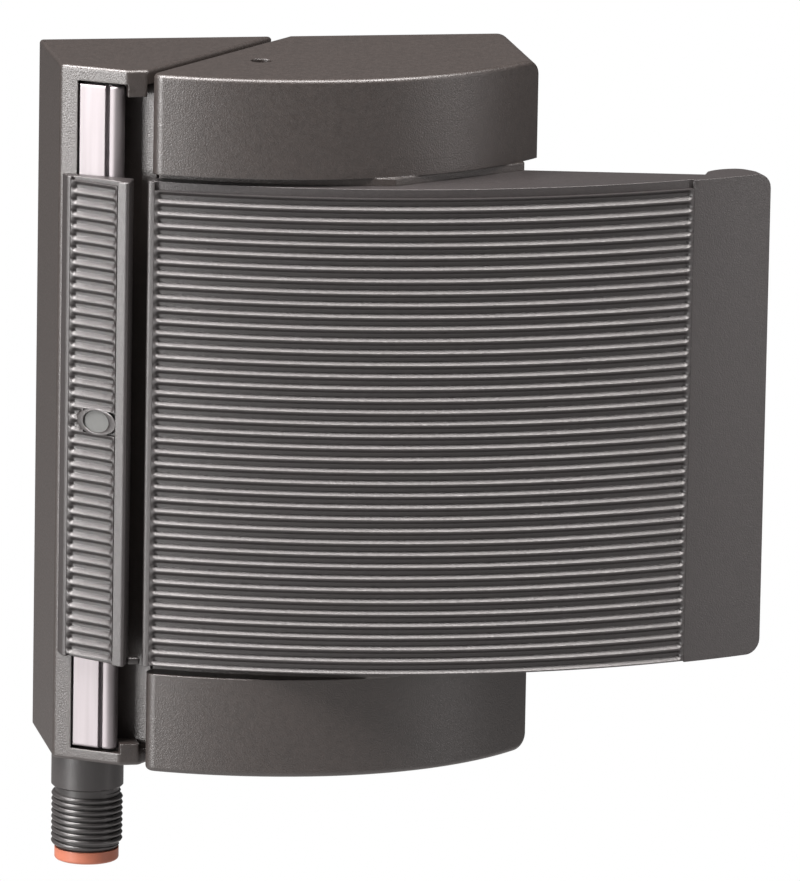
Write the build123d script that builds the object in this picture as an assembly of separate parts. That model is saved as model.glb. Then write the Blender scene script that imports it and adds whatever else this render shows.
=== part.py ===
from build123d import *
import os
from math import atan, atan2, cos, radians, sin, sqrt, tan

# A door switch with a holding magnet (left) and its actuator with a wing-shaped handle (right).
# X to the right, front towards -Y, Z up. The back of both units is the plane Y = 0.
# In plan, a point is given by its distance from the switch's left side and its depth from the back plane.

# Both units
unit_height = 115.0
interface_tilt = 40.0
interface_gap = 2.4
part_play = 0.1
seat_gap = 0.15
plate_thickness = 2.4
gasket_thickness = 0.6
plate_ledge = 1.3
mount_from_end = 13.5
mount_thread_radius = 2.5
mount_insert_radius = 3.5
mount_insert_length = 9.0
mount_boss_radius = 5.5
mount_boss_depth = 11.0
mount_web = 3.0
plate_boss_radius = 3.0
plate_boss_depth = 9.0
plate_boss_inset = 5.5
plate_screw_radius = 1.25
plate_screw_head_radius = 2.2
plate_screw_head_height = 1.4
plate_screw_length = 7.5
socket_share = 0.55

# Switch housing
mount_from_left = 22.0
switch_flat_width = 3.395
switch_side_depth = 23.0
switch_slope_width = 9.9
switch_front_rise = 6.8
switch_wall = 2.5
switch_end_wall = 3.0
front_bar_width = 2.7
channel_top_cap = 2.4
channel_bottom_cap = 2.0
corner_tab_width = 3.1
corner_tab_depth = 4.2
corner_tab_drop = 2.0
corner_tab_rise = 1.6
switch_edge_radius = 1.2
switch_rim_radius = 0.6
switch_screw_left = 5.0
switch_screw_from_right = 4.5

# Rail and ribbed strip
rail_thickness = 5.0
rail_left = 3.0
rail_width = 7.0
rail_end_play = 0.5
rail_groove_from_edge = 4.5
rail_groove_width = 0.8
rail_groove_depth = 1.0
rail_edge_radius = 1.4
rail_rim_radius = 0.4
rail_screw_from_end = 21.5
rail_screw_radius = 1.5
rail_screw_from_left = 6.4
rail_screw_head_radius = 2.6
rail_screw_head_height = 1.8
rail_screw_length = 9.0
rail_boss_radius = 3.2
rail_boss_depth = 4.5
strip_left = 0.5
strip_lift = 2.4
strip_face_start = 0.8
strip_face_end = 8.3
strip_face_rise = 3.7
strip_right = 11.1
strip_margin_rise = 0.9
strip_wall = 1.8
strip_end_taper = 0.3
strip_lug_length = 1.6
strip_lug_height = 1.2
strip_lug_from_front = 1.0
strip_lug_depth = 1.6
rib_pitch = 2.0
rib_groove_width = 0.7
rib_groove_depth = 0.7
strip_rib_start = 0.9
strip_rib_end = 0.5

# Status light
light_from_left = 5.4
light_radius = 1.8
light_surround_x = 2.75
light_surround_z = 2.2
light_surround_sink = 0.5
led_size = 3.0
led_height = 1.7
led_gap = 0.3

# Circuit boards
board_left = 3.0
board_from_right = 22.3
board_top_from_end = 21.5
board_bottom_from_end = 9.1
board_thickness = 1.6
board_post_height = 1.6
board_post_radius = 2.2
board_post_inset = 5.0
board_screw_radius = 0.9
board_screw_length = 4.4
chip_size = 7.0
chip_height = 1.5
chip_spacing = 24.0
capacitor_radius = 2.5
capacitor_height = 6.0
capacitor_spacing = 44.0

# Holding magnet, measured from the switch's face on the interface: across it, and along it to the back
core_from_back = 14.23
core_from_front = 6.67
core_from_end = 30.5
core_reach = 12.0
core_iron = 4.0
core_side_leg_share = 0.178
core_middle_leg_share = 0.256
pole_proud = 0.75
bobbin_wall = 0.6
bobbin_overhang = 4.8
bobbin_height = 5.2
winding_play = 0.1
reader_radius = 6.0
reader_bore = 4.0
reader_thickness = 1.5
sensor_along = -2.0
sensor_from_end = 13.5
latch_size = 10.0
latch_plate_thickness = 3.0

# Connector
connector_from_left = 7.3
connector_depth = 13.0
collar_radius = 5.95
collar_length = 7.1
thread_radius = 5.9
thread_length = 10.4
thread_relief_radius = 5.3
thread_relief_length = 0.6
thread_chamfer = 0.7
stub_radius = 4.0
stub_length = 9.0
stub_bore = 3.5
mouth_radius = 4.2
mouth_length = 13.0
clip_radius = 4.6
clip_thickness = 1.0
clip_groove = 0.3
clip_mouth = 2.4
o_ring_radius = 4.95
o_ring_section = 0.45
carrier_head_length = 4.0
pin_count = 7
pin_circle = 2.4
pin_radius = 0.4
pin_top_past_board = 0.8
pin_end_inset = 2.0
connector_board_thickness = 1.4
connector_board_margin = 0.5
plug_flange_radius = 5.3
plug_flange_height = 2.0
plug_wall = 0.5
plug_rim_radius = 0.4
plug_insert_length = 4.0
plug_floor = 1.2

# Actuator body
body_end_width = 37.6
body_middle_width = 34.7
body_peak_across = 1.3
body_peak_drop = 4.5
body_left_radius = 60.0
body_right_radius = 48.0
body_wall = 3.0
body_face_wall = 2.5
body_end_wall = 3.0
body_corner_radius = 2.0
body_front_corner = 2.5
body_rim_radius = 0.8
body_rim_from_back = 12.0
wing_side_gap = 1.2
top_hole_radius = 1.75
top_hole_depth = 5.0
top_hole_boss = 3.5
top_hole_from_face = 11.16
top_hole_from_back = 22.6
body_mount_across = 9.8
body_mount_from_right = 8.9
body_screw_across = 7.8
body_screw_from_right = 5.2

# Wing
wing_from_end = 17.5
wing_radius = 120.0
wing_peak_across = 24.3
wing_peak_rise = 15.7
wing_wall = 3.8
wing_bend_across = 11.3
wing_seat_end_drop = 16.9
wing_reach = 74.6
wing_neck_from_tip = 11.3
wing_neck_wall = 3.8
wing_lip_start_from_tip = 10.3
wing_lip_start_drop = 2.05
wing_lip_low_from_tip = 5.8
wing_lip_low_drop = 4.25
wing_lip_end_from_tip = 0.7
wing_lip_end_drop = 1.85
wing_tip_corner = 2.5
wing_edge_radius = 0.8
wing_rib_margin = 0.9
wing_rib_end_from_tip = 14.0
wing_pocket_across = 14.8
wing_pocket_from_right = 4.4
wing_pocket_web = 8.0
wing_pocket_skin = 3.0
wing_screw_from_right = 12.4
wing_screw_count = 4
wing_screw_from_end = 7.0
wing_screw_radius = 2.0
wing_screw_head_radius = 3.5
wing_screw_head_height = 3.0
wing_screw_wall = 7.15
wing_screw_length = 14.5
wing_insert_radius = 2.8
wing_insert_length = 6.0
wing_insert_sink = 2.45
wing_pad_radius = 4.6

# Armature, tag and latching magnet
armature_thickness = 7.0
armature_play = 0.4
armature_length_past_core = 4.0
buffer_thickness = 3.5
buffer_radius = 5.0
bulkhead_thickness = 3.0
bulkhead_past_core = 6.0
armature_pin_radius = 2.5
armature_pin_depth = 4.0
armature_pin_head = 4.0
armature_pin_head_height = 2.0
armature_pin_from_core_end = 7.0
tag_radius = 6.0
tag_thickness = 3.0
latch_magnet_thickness = 5.0

far = 200.0
half = unit_height / 2
mount_spacing_z = unit_height - 2 * mount_from_end
plate_seat = plate_thickness + gasket_thickness
slope = tan(radians(interface_tilt))
square = cos(radians(interface_tilt))
switch_front_depth = switch_side_depth + switch_front_rise
switch_back_width = switch_slope_width + switch_flat_width + slope * switch_front_depth
body_back_left = switch_back_width + interface_gap
gap_across = interface_gap * square
front_slope = switch_front_rise / switch_slope_width
front_angle = atan2(switch_front_rise, switch_slope_width)
rail_drop = rail_thickness / cos(front_angle)
rail_screw_spacing = unit_height - 2 * rail_screw_from_end
strip_face_depth = switch_front_depth + strip_face_rise
board_right = switch_back_width - board_from_right
board_top = half - board_top_from_end
board_bottom = -half + board_bottom_from_end
board_post_spacing = 2 * (board_top - board_post_inset)
core_length = unit_height - 2 * core_from_end
core_width = switch_front_depth / square - core_from_back - core_from_front
core_side_leg = core_width * core_side_leg_share
core_middle_leg = core_width * core_middle_leg_share
face_middle_depth = (core_from_back + core_width / 2) * square
sensor_height_z = half - sensor_from_end
bulkhead_length = core_length + 2 * bulkhead_past_core
armature_pin_spacing = core_length - 2 * armature_pin_from_core_end
armature_pin_rows = (-armature_pin_spacing / 2, armature_pin_spacing / 2)
body_right_end = body_back_left + body_end_width
body_right_middle = body_back_left + body_middle_width
body_peak_from_left = body_back_left + body_peak_across
body_mount_left = body_back_left + body_mount_across
body_mount_right = body_right_middle - body_mount_from_right
body_screw_left = body_back_left + body_screw_across
body_screw_right = body_right_middle - body_screw_from_right
top_hole_from_left = body_back_left - slope * top_hole_from_back + top_hole_from_face
wing_peak_depth = switch_front_depth + wing_peak_rise
body_peak_depth = wing_peak_depth - body_peak_drop
wing_peak_from_left = body_back_left + wing_peak_across
wing_seat_bend = body_back_left + wing_bend_across
wing_tip_from_left = body_back_left + wing_reach
wing_neck_from_left = wing_tip_from_left - wing_neck_from_tip
wing_lip_start = wing_tip_from_left - wing_lip_start_from_tip
wing_lip_low = wing_tip_from_left - wing_lip_low_from_tip
wing_lip_end = wing_tip_from_left - wing_lip_end_from_tip
wing_rib_end = wing_tip_from_left - wing_rib_end_from_tip
wing_pocket_left = body_back_left + wing_pocket_across
wing_pocket_right = body_right_middle - wing_pocket_from_right
wing_screw_from_left = body_right_middle - wing_screw_from_right
wing_height = unit_height - 2 * wing_from_end
wing_half = wing_height / 2
wing_seat_end_depth = wing_peak_depth - wing_seat_end_drop
wing_screw_pitch = (wing_height - 2 * wing_screw_from_end) / (wing_screw_count - 1)
wing_screw_rows = [wing_half - wing_screw_from_end - i * wing_screw_pitch for i in range(wing_screw_count)]
rib_count = int(wing_height / rib_pitch)
cap_underside = wing_half + wing_side_gap
connector_bottom = -half - collar_length - thread_length
arc_depth = wing_peak_depth - wing_radius


def at(from_left, depth):
    """The place in X and Y of a point in plan."""
    return (from_left - mount_from_left, -depth)


def switch_face(depth):
    """Distance from the left of the switch's side of the interface at a depth."""
    return switch_back_width - slope * depth


def front_depth(from_left):
    """Depth of the switch's sloping front at a distance from the left."""
    return switch_side_depth + front_slope * from_left


def arc_at(radius, from_left):
    """Depth of the wing's arc, or one concentric with it, at a distance from the left."""
    return arc_depth + sqrt(radius**2 - (from_left - wing_peak_from_left) ** 2)


def circle_meets_face(centre_from_left, centre_depth, radius, back_left):
    """Where a circle in plan meets a line parallel to the interface, at the front."""
    aside = back_left - centre_from_left
    a = 1 + slope**2
    b = -2 * (slope * aside + centre_depth)
    c = aside**2 + centre_depth**2 - radius**2
    depth = (-b + sqrt(b**2 - 4 * a * c)) / (2 * a)
    return (back_left - slope * depth, depth)


def arc_meets_face(radius, back_left):
    """Where an arc about the wing's centre meets a line parallel to the interface."""
    return circle_meets_face(wing_peak_from_left, arc_depth, radius, back_left)


def outline(*points):
    """A closed flat shape with straight sides through points in plan."""
    return make_face(Polyline(*[at(*p) for p in points], close=True))


def raised(face, low, high):
    """A flat shape in plan made solid between two heights."""
    return Pos(0, 0, low) * extrude(face, high - low, dir=(0, 0, 1))


def slab(left, right, back, front, low, high):
    """A box between two distances from the left, two depths and two heights."""
    return raised(outline((left, back), (right, back), (right, front), (left, front)), low, high)


def rod(radius, from_left, back, front, z):
    """A round bar that runs straight forward."""
    x, y = at(from_left, (back + front) / 2)
    return Pos(x, y, z) * Rot(90, 0, 0) * Cylinder(radius, front - back)


def post(radius, from_left, depth, low, high):
    """A round bar that stands upright."""
    x, y = at(from_left, depth)
    return Pos(x, y, (low + high) / 2) * Cylinder(radius, high - low)


def screw(head_radius, head_height, radius, length):
    """A cylinder-head screw with a hexagon socket, its head's top at zero and its tip down."""
    head = Pos(0, 0, -head_height / 2) * Cylinder(head_radius, head_height)
    shank = Pos(0, 0, -(head_height + length) / 2) * Cylinder(radius, length - head_height)
    socket = extrude(RegularPolygon(head_radius * socket_share, 6), -head_height * socket_share)
    return head + shank - socket


def screw_forward(head_radius, head_height, radius, length, from_left, head_depth, z):
    """A screw that points forward, with its head's top at a depth."""
    x, y = at(from_left, head_depth)
    return Pos(x, y, z) * Rot(-90, 0, 0) * screw(head_radius, head_height, radius, length)


face_origin = at(switch_face(face_middle_depth), face_middle_depth)
face_side = sin(radians(interface_tilt))
face_plane = Plane(origin=(*face_origin, 0), x_dir=(square, -face_side, 0), z_dir=(0, 0, 1))
face_place = Location(face_plane)


def block(across_low, across_high, along_low, along_high, low, high):
    """A box set square to the interface, from the switch's face."""
    place = Pos((across_low + across_high) / 2, (along_low + along_high) / 2, (low + high) / 2)
    return face_place * place * Box(across_high - across_low, along_high - along_low, high - low)


def disc(radius, across_low, across_high, along, z):
    """A round bar set square to the interface."""
    place = Pos((across_low + across_high) / 2, along, z) * Rot(0, 90, 0)
    return face_place * place * Cylinder(radius, across_high - across_low)


def both(shapes):
    """Identical pieces kept together as separate solids."""
    return Compound(children=[s if isinstance(s, Solid) else s.solids()[0] for s in shapes])


def keep(name, shape):
    """Write one piece to its own file."""
    shape.label = name
    export_step(shape, f"parts/{name}.step")


def plate_corners(left, right):
    """Places of the four screws that hold a back plate."""
    up = half - plate_boss_inset
    return [(x, z) for x in (left, right) for z in (-up, up)]


def mount_places(places):
    """Places of the fixing inserts."""
    return [(x, z) for x in places for z in (-mount_spacing_z / 2, mount_spacing_z / 2)]


def bosses(outer, mounts, corners, end_wall):
    """Solid bosses for the inserts and the plate's screws, with a web to the end wall."""
    shapes = []
    for x, z in mounts:
        inner = half - end_wall
        web_low, web_high = sorted([z, inner if z > 0 else -inner])
        shapes.append(rod(mount_boss_radius, x, 0, mount_boss_depth, z))
        side = mount_web / 2
        shapes.append(slab(x - side, x + side, plate_seat, mount_boss_depth, web_low, web_high))
    for x, z in corners:
        shapes.append(rod(plate_boss_radius, x, plate_thickness, plate_boss_depth, z))
    return [s & outer for s in shapes]


def bored(shape, mounts, corners):
    """Holes for the inserts and the plate's screws."""
    for x, z in mounts:
        shape -= rod(mount_insert_radius + part_play / 2, x, 0, mount_insert_length, z)
    for x, z in corners:
        shape -= rod(plate_screw_radius + part_play / 2, x, 0, plate_screw_length + part_play, z)
    return shape


def back_plate(left, right, end_wall, mounts, corners):
    """The plate that closes a unit's back, around the bosses."""
    high = half - end_wall + plate_ledge - part_play
    plate = slab(left + part_play, right - part_play, 0, plate_thickness, -high, high)
    for x, z in mounts:
        plate -= rod(mount_boss_radius + part_play, x, 0, plate_thickness, z)
    for x, z in corners:
        plate -= rod(plate_screw_head_radius + part_play, x, 0, plate_screw_head_height, z)
        plate -= rod(plate_screw_radius + part_play, x, 0, plate_thickness, z)
    return plate


def gasket(left, right, end_wall, corners):
    """The flat seal between a back plate and its ledge."""
    high = half - end_wall + plate_ledge - part_play
    inner = half - end_wall
    ring = slab(left + part_play, right - part_play, plate_thickness, plate_seat, -high, high)
    ring -= slab(left + plate_ledge, right - plate_ledge, 0, plate_seat, -inner, inner)
    for x, z in corners:
        ring -= rod(plate_boss_radius + part_play, x, plate_thickness, plate_seat, z)
    return ring


def mount_inserts(mounts):
    """Brass inserts with a thread for the fixing screws."""
    outer = [rod(mount_insert_radius, x, 0, mount_insert_length, z) for x, z in mounts]
    bores = [rod(mount_thread_radius, x, 0, mount_insert_length, z) for x, z in mounts]
    return both([o - b for o, b in zip(outer, bores)])


def plate_screws(corners):
    """The screws that hold a back plate."""
    size = (plate_screw_head_radius, plate_screw_head_height, plate_screw_radius, plate_screw_length)
    return both([screw_forward(*size, x, 0, z) for x, z in corners])


switch_plate_left = switch_wall - plate_ledge
switch_plate_right = switch_face(plate_seat) - switch_wall / square
switch_plate_size = (switch_plate_left, switch_plate_right, switch_end_wall)
switch_mounts = mount_places((mount_from_left,))
switch_corners = plate_corners(switch_screw_left, switch_plate_right - switch_screw_from_right)
floor_drop = rail_drop + switch_wall / cos(front_angle)


def switch_outer():
    """The switch's wedge-shaped outside."""
    points = [(0, 0), (0, switch_side_depth), (switch_slope_width, switch_front_depth)]
    points += [(switch_face(switch_front_depth), switch_front_depth), (switch_back_width, 0)]
    solid = raised(outline(*points), -half, half)
    fronts = [e for e in solid.edges().filter_by(Axis.Z) if e.center().Y < -switch_side_depth / 2]
    solid = fillet(fronts, switch_edge_radius)
    right = at(switch_slope_width, 0)[0]
    rims = [e for e in solid.edges().filter_by(Plane.XY) if e.center().X < right and e.center().Y < 0]
    return fillet(rims, switch_rim_radius)


def switch_cavity():
    """The room inside the switch."""
    inner_back = switch_back_width - switch_wall / square
    low_depth = front_depth(switch_wall) - floor_drop
    deep = (switch_side_depth - floor_drop + front_slope * inner_back) / (1 + front_slope * slope)
    right = switch_plate_right - plate_ledge
    points = [(switch_wall, plate_seat), (switch_wall, low_depth), (inner_back - slope * deep, deep)]
    points += [(right, (inner_back - right) / slope), (right, plate_seat)]
    inner = half - switch_end_wall
    ledge = inner + plate_ledge
    pocket = slab(switch_plate_left, switch_plate_right, 0, plate_seat, -ledge, ledge)
    return raised(outline(*points), -inner, inner) + pocket


def channel():
    """The channel along the front, open towards the interface."""
    left = front_bar_width
    near_floor = front_depth(left) - rail_drop
    far_floor = front_depth(far) - rail_drop
    points = [(left, near_floor), (left, far), (far, far), (far, far_floor)]
    return raised(outline(*points), -half + channel_bottom_cap, half - channel_top_cap)


def corner_tabs():
    """The small tabs at the top and bottom of the front right corner."""
    right = switch_face(switch_front_depth) - part_play
    left = right - corner_tab_width
    front = switch_front_depth
    back = front - corner_tab_depth
    high = half - channel_top_cap
    low = -half + channel_bottom_cap
    top = slab(left, right, back, front, high - corner_tab_drop, high)
    return [top, slab(left, right, back, front, low, low + corner_tab_rise)]


def sloping_place(from_left, depth, z, angle):
    """A place with its local X up a slope towards the right, and its local Z outwards."""
    x, y = at(from_left, depth)
    along = (cos(angle), -sin(angle), 0)
    outwards = (-sin(angle), -cos(angle), 0)
    return Location(Plane(origin=(x, y, z), x_dir=along, z_dir=outwards))


def front_place(from_left, z):
    """A place on the rail's front, level with the sloping front."""
    return sloping_place(from_left, front_depth(from_left), z, front_angle)


def rail_screw_places():
    """Where the rail's two screws start."""
    return [front_place(rail_screw_from_left, z) for z in (-rail_screw_spacing / 2, rail_screw_spacing / 2)]


def bar_inward(radius, start, end):
    """A round bar along local Z, between two depths under the place."""
    return Pos(0, 0, -(start + end) / 2) * Cylinder(radius, end - start)


def leg_spans():
    """Where the magnet's three legs lie along the interface."""
    side = core_width / 2
    middle = core_middle_leg / 2
    return [(-side, -side + core_side_leg), (side - core_side_leg, side), (-middle, middle)]


def switch_housing():
    """The moulded housing of the switch."""
    outer = switch_outer()
    housing = outer - switch_cavity()
    for boss in bosses(outer, switch_mounts, switch_corners, switch_end_wall):
        housing += boss
    rail_boss_end = rail_thickness + rail_boss_depth + switch_wall / 2
    for place in rail_screw_places():
        housing += place * bar_inward(rail_boss_radius, rail_thickness, rail_boss_end)
    housing -= channel()
    for tab in corner_tabs():
        housing += tab & outer
    housing = bored(housing, switch_mounts, switch_corners)
    for place in rail_screw_places():
        housing -= place * bar_inward(rail_screw_radius + part_play, 0, rail_thickness + rail_boss_depth)
    core_half = core_length / 2 + part_play
    through = switch_wall * 2
    for low, high in leg_spans():
        housing -= block(-through, through, low - part_play, high + part_play, -core_half, core_half)
    housing -= rod(light_radius + part_play, light_from_left, plate_seat, far, 0)
    housing -= connector_post(stub_radius + part_play, -far, -half + switch_end_wall)
    return housing


def front_rail():
    """The metal rail that lies in the channel."""
    low = -half + channel_bottom_cap + rail_end_play
    high = half - channel_top_cap - rail_end_play
    left = rail_left
    right = rail_left + rail_width
    corners = ((left, rail_drop), (left, 0), (right, 0), (right, rail_drop))
    rail = raised(outline(*[(x, front_depth(x) - drop) for x, drop in corners]), low, high)
    front = rail.edges().filter_by(Axis.Z).sort_by(Axis.Y)[0]
    rail = fillet(front, rail_edge_radius)
    rim_depth = front_depth(left) - rail_rim_radius
    rims = [e for e in rail.edges().filter_by(Plane.XY) if -e.center().Y > rim_depth]
    rail = fillet(rims, rail_rim_radius)
    groove = Pos(rail_groove_from_edge + rail_groove_width / 2, 0, -rail_groove_depth / 2)
    rail -= front_place(rail_left, 0) * groove * Box(rail_groove_width, unit_height, rail_groove_depth)
    for place in rail_screw_places():
        rail -= place * bar_inward(rail_screw_radius + part_play, 0, rail_thickness)
        rail -= place * bar_inward(rail_screw_head_radius + part_play, 0, rail_screw_head_height)
    return rail - rod(light_radius + part_play, light_from_left, plate_seat, far, 0)


def rail_screws():
    """The two screws that hold the rail."""
    size = (rail_screw_head_radius, rail_screw_head_height, rail_screw_radius, rail_screw_length)
    return both([place * screw(*size) for place in rail_screw_places()])


strip_face_low = front_depth(strip_face_start) + strip_lift
strip_slope = (strip_face_depth - strip_face_low) / (strip_face_end - strip_face_start)
strip_angle = atan(strip_slope)


def strip_face(from_left):
    """Depth of the strip's ribbed face at a distance from the left."""
    return strip_face_low + strip_slope * (from_left - strip_face_start)


def ribbed_strip():
    """The ribbed cover strip over the middle of the rail."""
    crest = (strip_face_end + strip_right) / 2
    points = [(strip_left, front_depth(strip_left)), (strip_face_start, strip_face_low)]
    points += [(strip_face_end, strip_face_depth), (crest, strip_face_depth + strip_margin_rise)]
    points += [(strip_right, strip_face_depth), (strip_right, front_depth(strip_right))]
    strip = raised(outline(*points), -wing_half, wing_half)
    inner = strip_wall / cos(strip_angle)
    left = front_bar_width
    right = strip_right - strip_wall
    hollow = [(left, front_depth(left)), (left, strip_face(left) - inner)]
    hollow += [(right, strip_face(right) - inner), (right, front_depth(right))]
    room = raised(outline(*hollow), -wing_half + strip_wall, wing_half - strip_wall)
    light_wall = rod(light_radius + strip_wall, light_from_left, plate_seat, far, 0)
    strip -= room - light_wall
    left_high = (*at(strip_left, 0), wing_half - strip_end_taper)
    right_high = (*at(strip_right, 0), wing_half)
    right_low = (*at(strip_right, 0), -wing_half)
    left_low = (*at(strip_left, 0), -wing_half + strip_end_taper)
    tapered = make_face(Polyline(left_high, right_high, right_low, left_low, close=True))
    strip &= extrude(tapered, far, dir=(0, -1, 0))
    front = strip_face_depth - strip_lug_from_front
    lug_end = strip_right + strip_lug_length
    low = -wing_half
    strip += slab(right, lug_end, front - strip_lug_depth, front, low, low + strip_lug_height)
    x, y = at(light_from_left, 0)
    surround = extrude(Ellipse(light_surround_x, light_surround_z), far, dir=(0, 0, 1))
    strip -= strip_grooves() - Pos(x, y, 0) * Rot(90, 0, 0) * surround
    return strip - rod(light_radius + part_play, light_from_left, plate_seat, far, 0)


def groove_heights():
    """Heights of the grooves between the ribs."""
    return [(i + 1 - rib_count / 2) * rib_pitch for i in range(rib_count - 1)]


def strip_grooves():
    """The grooves between the ribs in the strip's sloping face."""
    length = (strip_face_end - strip_face_start) / cos(strip_angle) - strip_rib_start - strip_rib_end
    middle = Pos(strip_rib_start + length / 2, 0, 0)
    groove = Box(length, rib_groove_width, rib_groove_depth * 2)
    places = [sloping_place(strip_face_start, strip_face_low, z, strip_angle) for z in groove_heights()]
    return Compound(children=[place * middle * groove for place in places])


led_front = plate_thickness + board_post_height + board_thickness


def light_pipe():
    """The clear bar that brings the status light to the strip's face."""
    bar = rod(light_radius, light_from_left, led_front + led_height + led_gap, strip_face_depth, 0)
    low = strip_face_start
    high = strip_face_end
    sunk = light_surround_sink
    cut = outline((low, strip_face(low) - sunk), (high, strip_face(high) - sunk), (high, far), (low, far))
    return bar - raised(cut, -far, far)


def board_screw_places():
    """Places of the board's two screws."""
    x = board_right - board_post_radius - part_play
    return [(x, -board_post_spacing / 2), (x, board_post_spacing / 2)]


def switch_back_plate():
    """The switch's back plate with the posts that carry the board."""
    plate = back_plate(*switch_plate_size, switch_mounts, switch_corners)
    left = board_left + board_post_radius + part_play
    posts = board_screw_places() + [(left, z) for x, z in board_screw_places()]
    for x, z in posts:
        plate += rod(board_post_radius, x, plate_thickness / 2, plate_thickness + board_post_height, z)
    for x, z in board_screw_places():
        plate -= rod(board_screw_radius + part_play / 2, x, plate_thickness / 2, far, z)
    return plate


def main_board():
    """The main circuit board."""
    back = plate_thickness + board_post_height
    board = slab(board_left, board_right, back, led_front, board_bottom, board_top)
    for x, z in board_screw_places():
        board -= rod(board_screw_radius + part_play, x, back, led_front, z)
    return board


def board_screws():
    """The two screws that hold the board, with their heads at the front."""
    shapes = []
    for x, z in board_screw_places():
        head_height = board_screw_radius
        sx, sy = at(x, led_front + head_height)
        size = (board_screw_radius * 2, head_height, board_screw_radius, board_screw_length)
        shapes.append(Pos(sx, sy, z) * Rot(90, 0, 0) * screw(*size))
    return both(shapes)


def board_chips():
    """Two processors on the board."""
    x = (board_left + board_right) / 2
    side = chip_size / 2
    front = led_front + chip_height
    rows = (-chip_spacing / 2, chip_spacing / 2)
    return both([slab(x - side, x + side, led_front, front, z - side, z + side) for z in rows])


def board_capacitors():
    """Two capacitors on the board."""
    x = board_left + capacitor_radius * 2
    rows = (-capacitor_spacing / 2, capacitor_spacing / 2)
    return both([rod(capacitor_radius, x, led_front, led_front + capacitor_height, z) for z in rows])


def status_led():
    """The status light on the board."""
    side = led_size / 2
    x = light_from_left
    return slab(x - side, x + side, led_front, led_front + led_height, -side, side)


def magnet_core():
    """The holding magnet's iron, with three long legs through the housing's face."""
    high = core_length / 2
    side = core_width / 2
    core = block(-core_reach, -core_reach + core_iron, -side, side, -high, high)
    for low, top in leg_spans():
        core += block(-core_reach, pole_proud, low, top, -high, high)
    return core


slot_width = (core_width - 2 * core_side_leg - core_middle_leg) / 2
bobbin_back = -core_reach + core_iron + seat_gap
bobbin_front = bobbin_back + bobbin_height


def ring_block(across_low, across_high, inner_along, outer_along, inner_high, outer_high):
    """A long frame around the magnet's middle leg."""
    outer = block(across_low, across_high, -outer_along, outer_along, -outer_high, outer_high)
    inner = block(across_low, across_high, -inner_along, inner_along, -inner_high, inner_high)
    return outer - inner


def coil_bobbin():
    """The bobbin around the middle leg."""
    leg = core_middle_leg / 2 + seat_gap
    end = core_length / 2 + seat_gap
    wide = core_middle_leg / 2 + slot_width - seat_gap
    tall = end + bobbin_overhang
    tube = ring_block(bobbin_back, bobbin_front, leg, leg + bobbin_wall, end, end + bobbin_wall)
    low = ring_block(bobbin_back, bobbin_back + bobbin_wall, leg, wide, end, tall)
    top = ring_block(bobbin_front - bobbin_wall, bobbin_front, leg, wide, end, tall)
    return tube + low + top


def coil_winding():
    """The copper winding on the bobbin."""
    leg = core_middle_leg / 2 + seat_gap + bobbin_wall + winding_play
    end = core_length / 2 + seat_gap + bobbin_wall + winding_play
    wide = core_middle_leg / 2 + slot_width - 2 * seat_gap
    tall = end + bobbin_overhang - 2 * bobbin_wall
    return ring_block(bobbin_back + bobbin_wall, bobbin_front - bobbin_wall, leg, wide, end, tall)


def reader_coil():
    """The flat antenna that reads the tag."""
    size = (-switch_wall - reader_thickness, -switch_wall, sensor_along, sensor_height_z)
    return disc(reader_radius, *size) - disc(reader_bore, *size)


def latch_block(across, thickness):
    """A square piece of the latch, from a distance to the switch's face."""
    side = latch_size / 2
    z = -sensor_height_z
    return block(across, across + thickness, sensor_along - side, sensor_along + side, z - side, z + side)


def latch_plate():
    """The steel plate that the latching magnet pulls."""
    return latch_block(-switch_wall - latch_plate_thickness, latch_plate_thickness)


def connector_post(radius, low, high):
    """A round bar on the connector's axis."""
    return post(radius, connector_from_left, connector_depth, low, high)


def connector_ring(outer, inner, low, high):
    """A ring on the connector's axis."""
    return connector_post(outer, low, high) - connector_post(inner, low, high)


def connector_shell():
    """The connector's shell: a stub through the housing, a plain collar and the threaded end."""
    collar_low = -half - collar_length
    shell = connector_post(stub_radius, -half, -half + stub_length)
    shell += connector_post(collar_radius, collar_low, -half)
    thread = connector_post(thread_radius, connector_bottom, collar_low)
    shell += chamfer(thread.edges().sort_by(Axis.Z)[0], thread_chamfer)
    relief_low = collar_low - thread_relief_length
    shell -= connector_ring(collar_radius, thread_relief_radius, relief_low, collar_low)
    shell -= connector_post(stub_bore, -far, far)
    shell -= connector_post(mouth_radius, connector_bottom, connector_bottom + mouth_length)
    seat = -half + switch_end_wall
    shell -= connector_ring(far, stub_radius - clip_groove, seat, seat + clip_thickness)
    wide = o_ring_section + part_play
    room_low = -half - 2 * o_ring_section
    return shell - connector_ring(o_ring_radius + wide, o_ring_radius - wide, room_low, -half)


def connector_o_ring():
    """The seal between the collar and the housing."""
    x, y = at(connector_from_left, connector_depth)
    section = o_ring_section - part_play / 4
    return Pos(x, y, -half - o_ring_section) * Torus(o_ring_radius, section)


def connector_clip():
    """The open clip that holds the shell in the housing."""
    seat = -half + switch_end_wall
    top = seat + clip_thickness
    ring = connector_ring(clip_radius, stub_radius - clip_groove + part_play / 2, seat, top)
    x = connector_from_left
    return ring - slab(x - clip_mouth, x + clip_mouth, 0, connector_depth, seat, top)


def pin_places():
    """Places of the connector's contacts in plan."""
    places = [(connector_from_left, connector_depth)]
    for i in range(pin_count):
        turn = radians(360 / pin_count * i)
        x = connector_from_left + pin_circle * cos(turn)
        places.append((x, connector_depth + pin_circle * sin(turn)))
    return places


connector_board_low = -half + stub_length + part_play * 2


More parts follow.
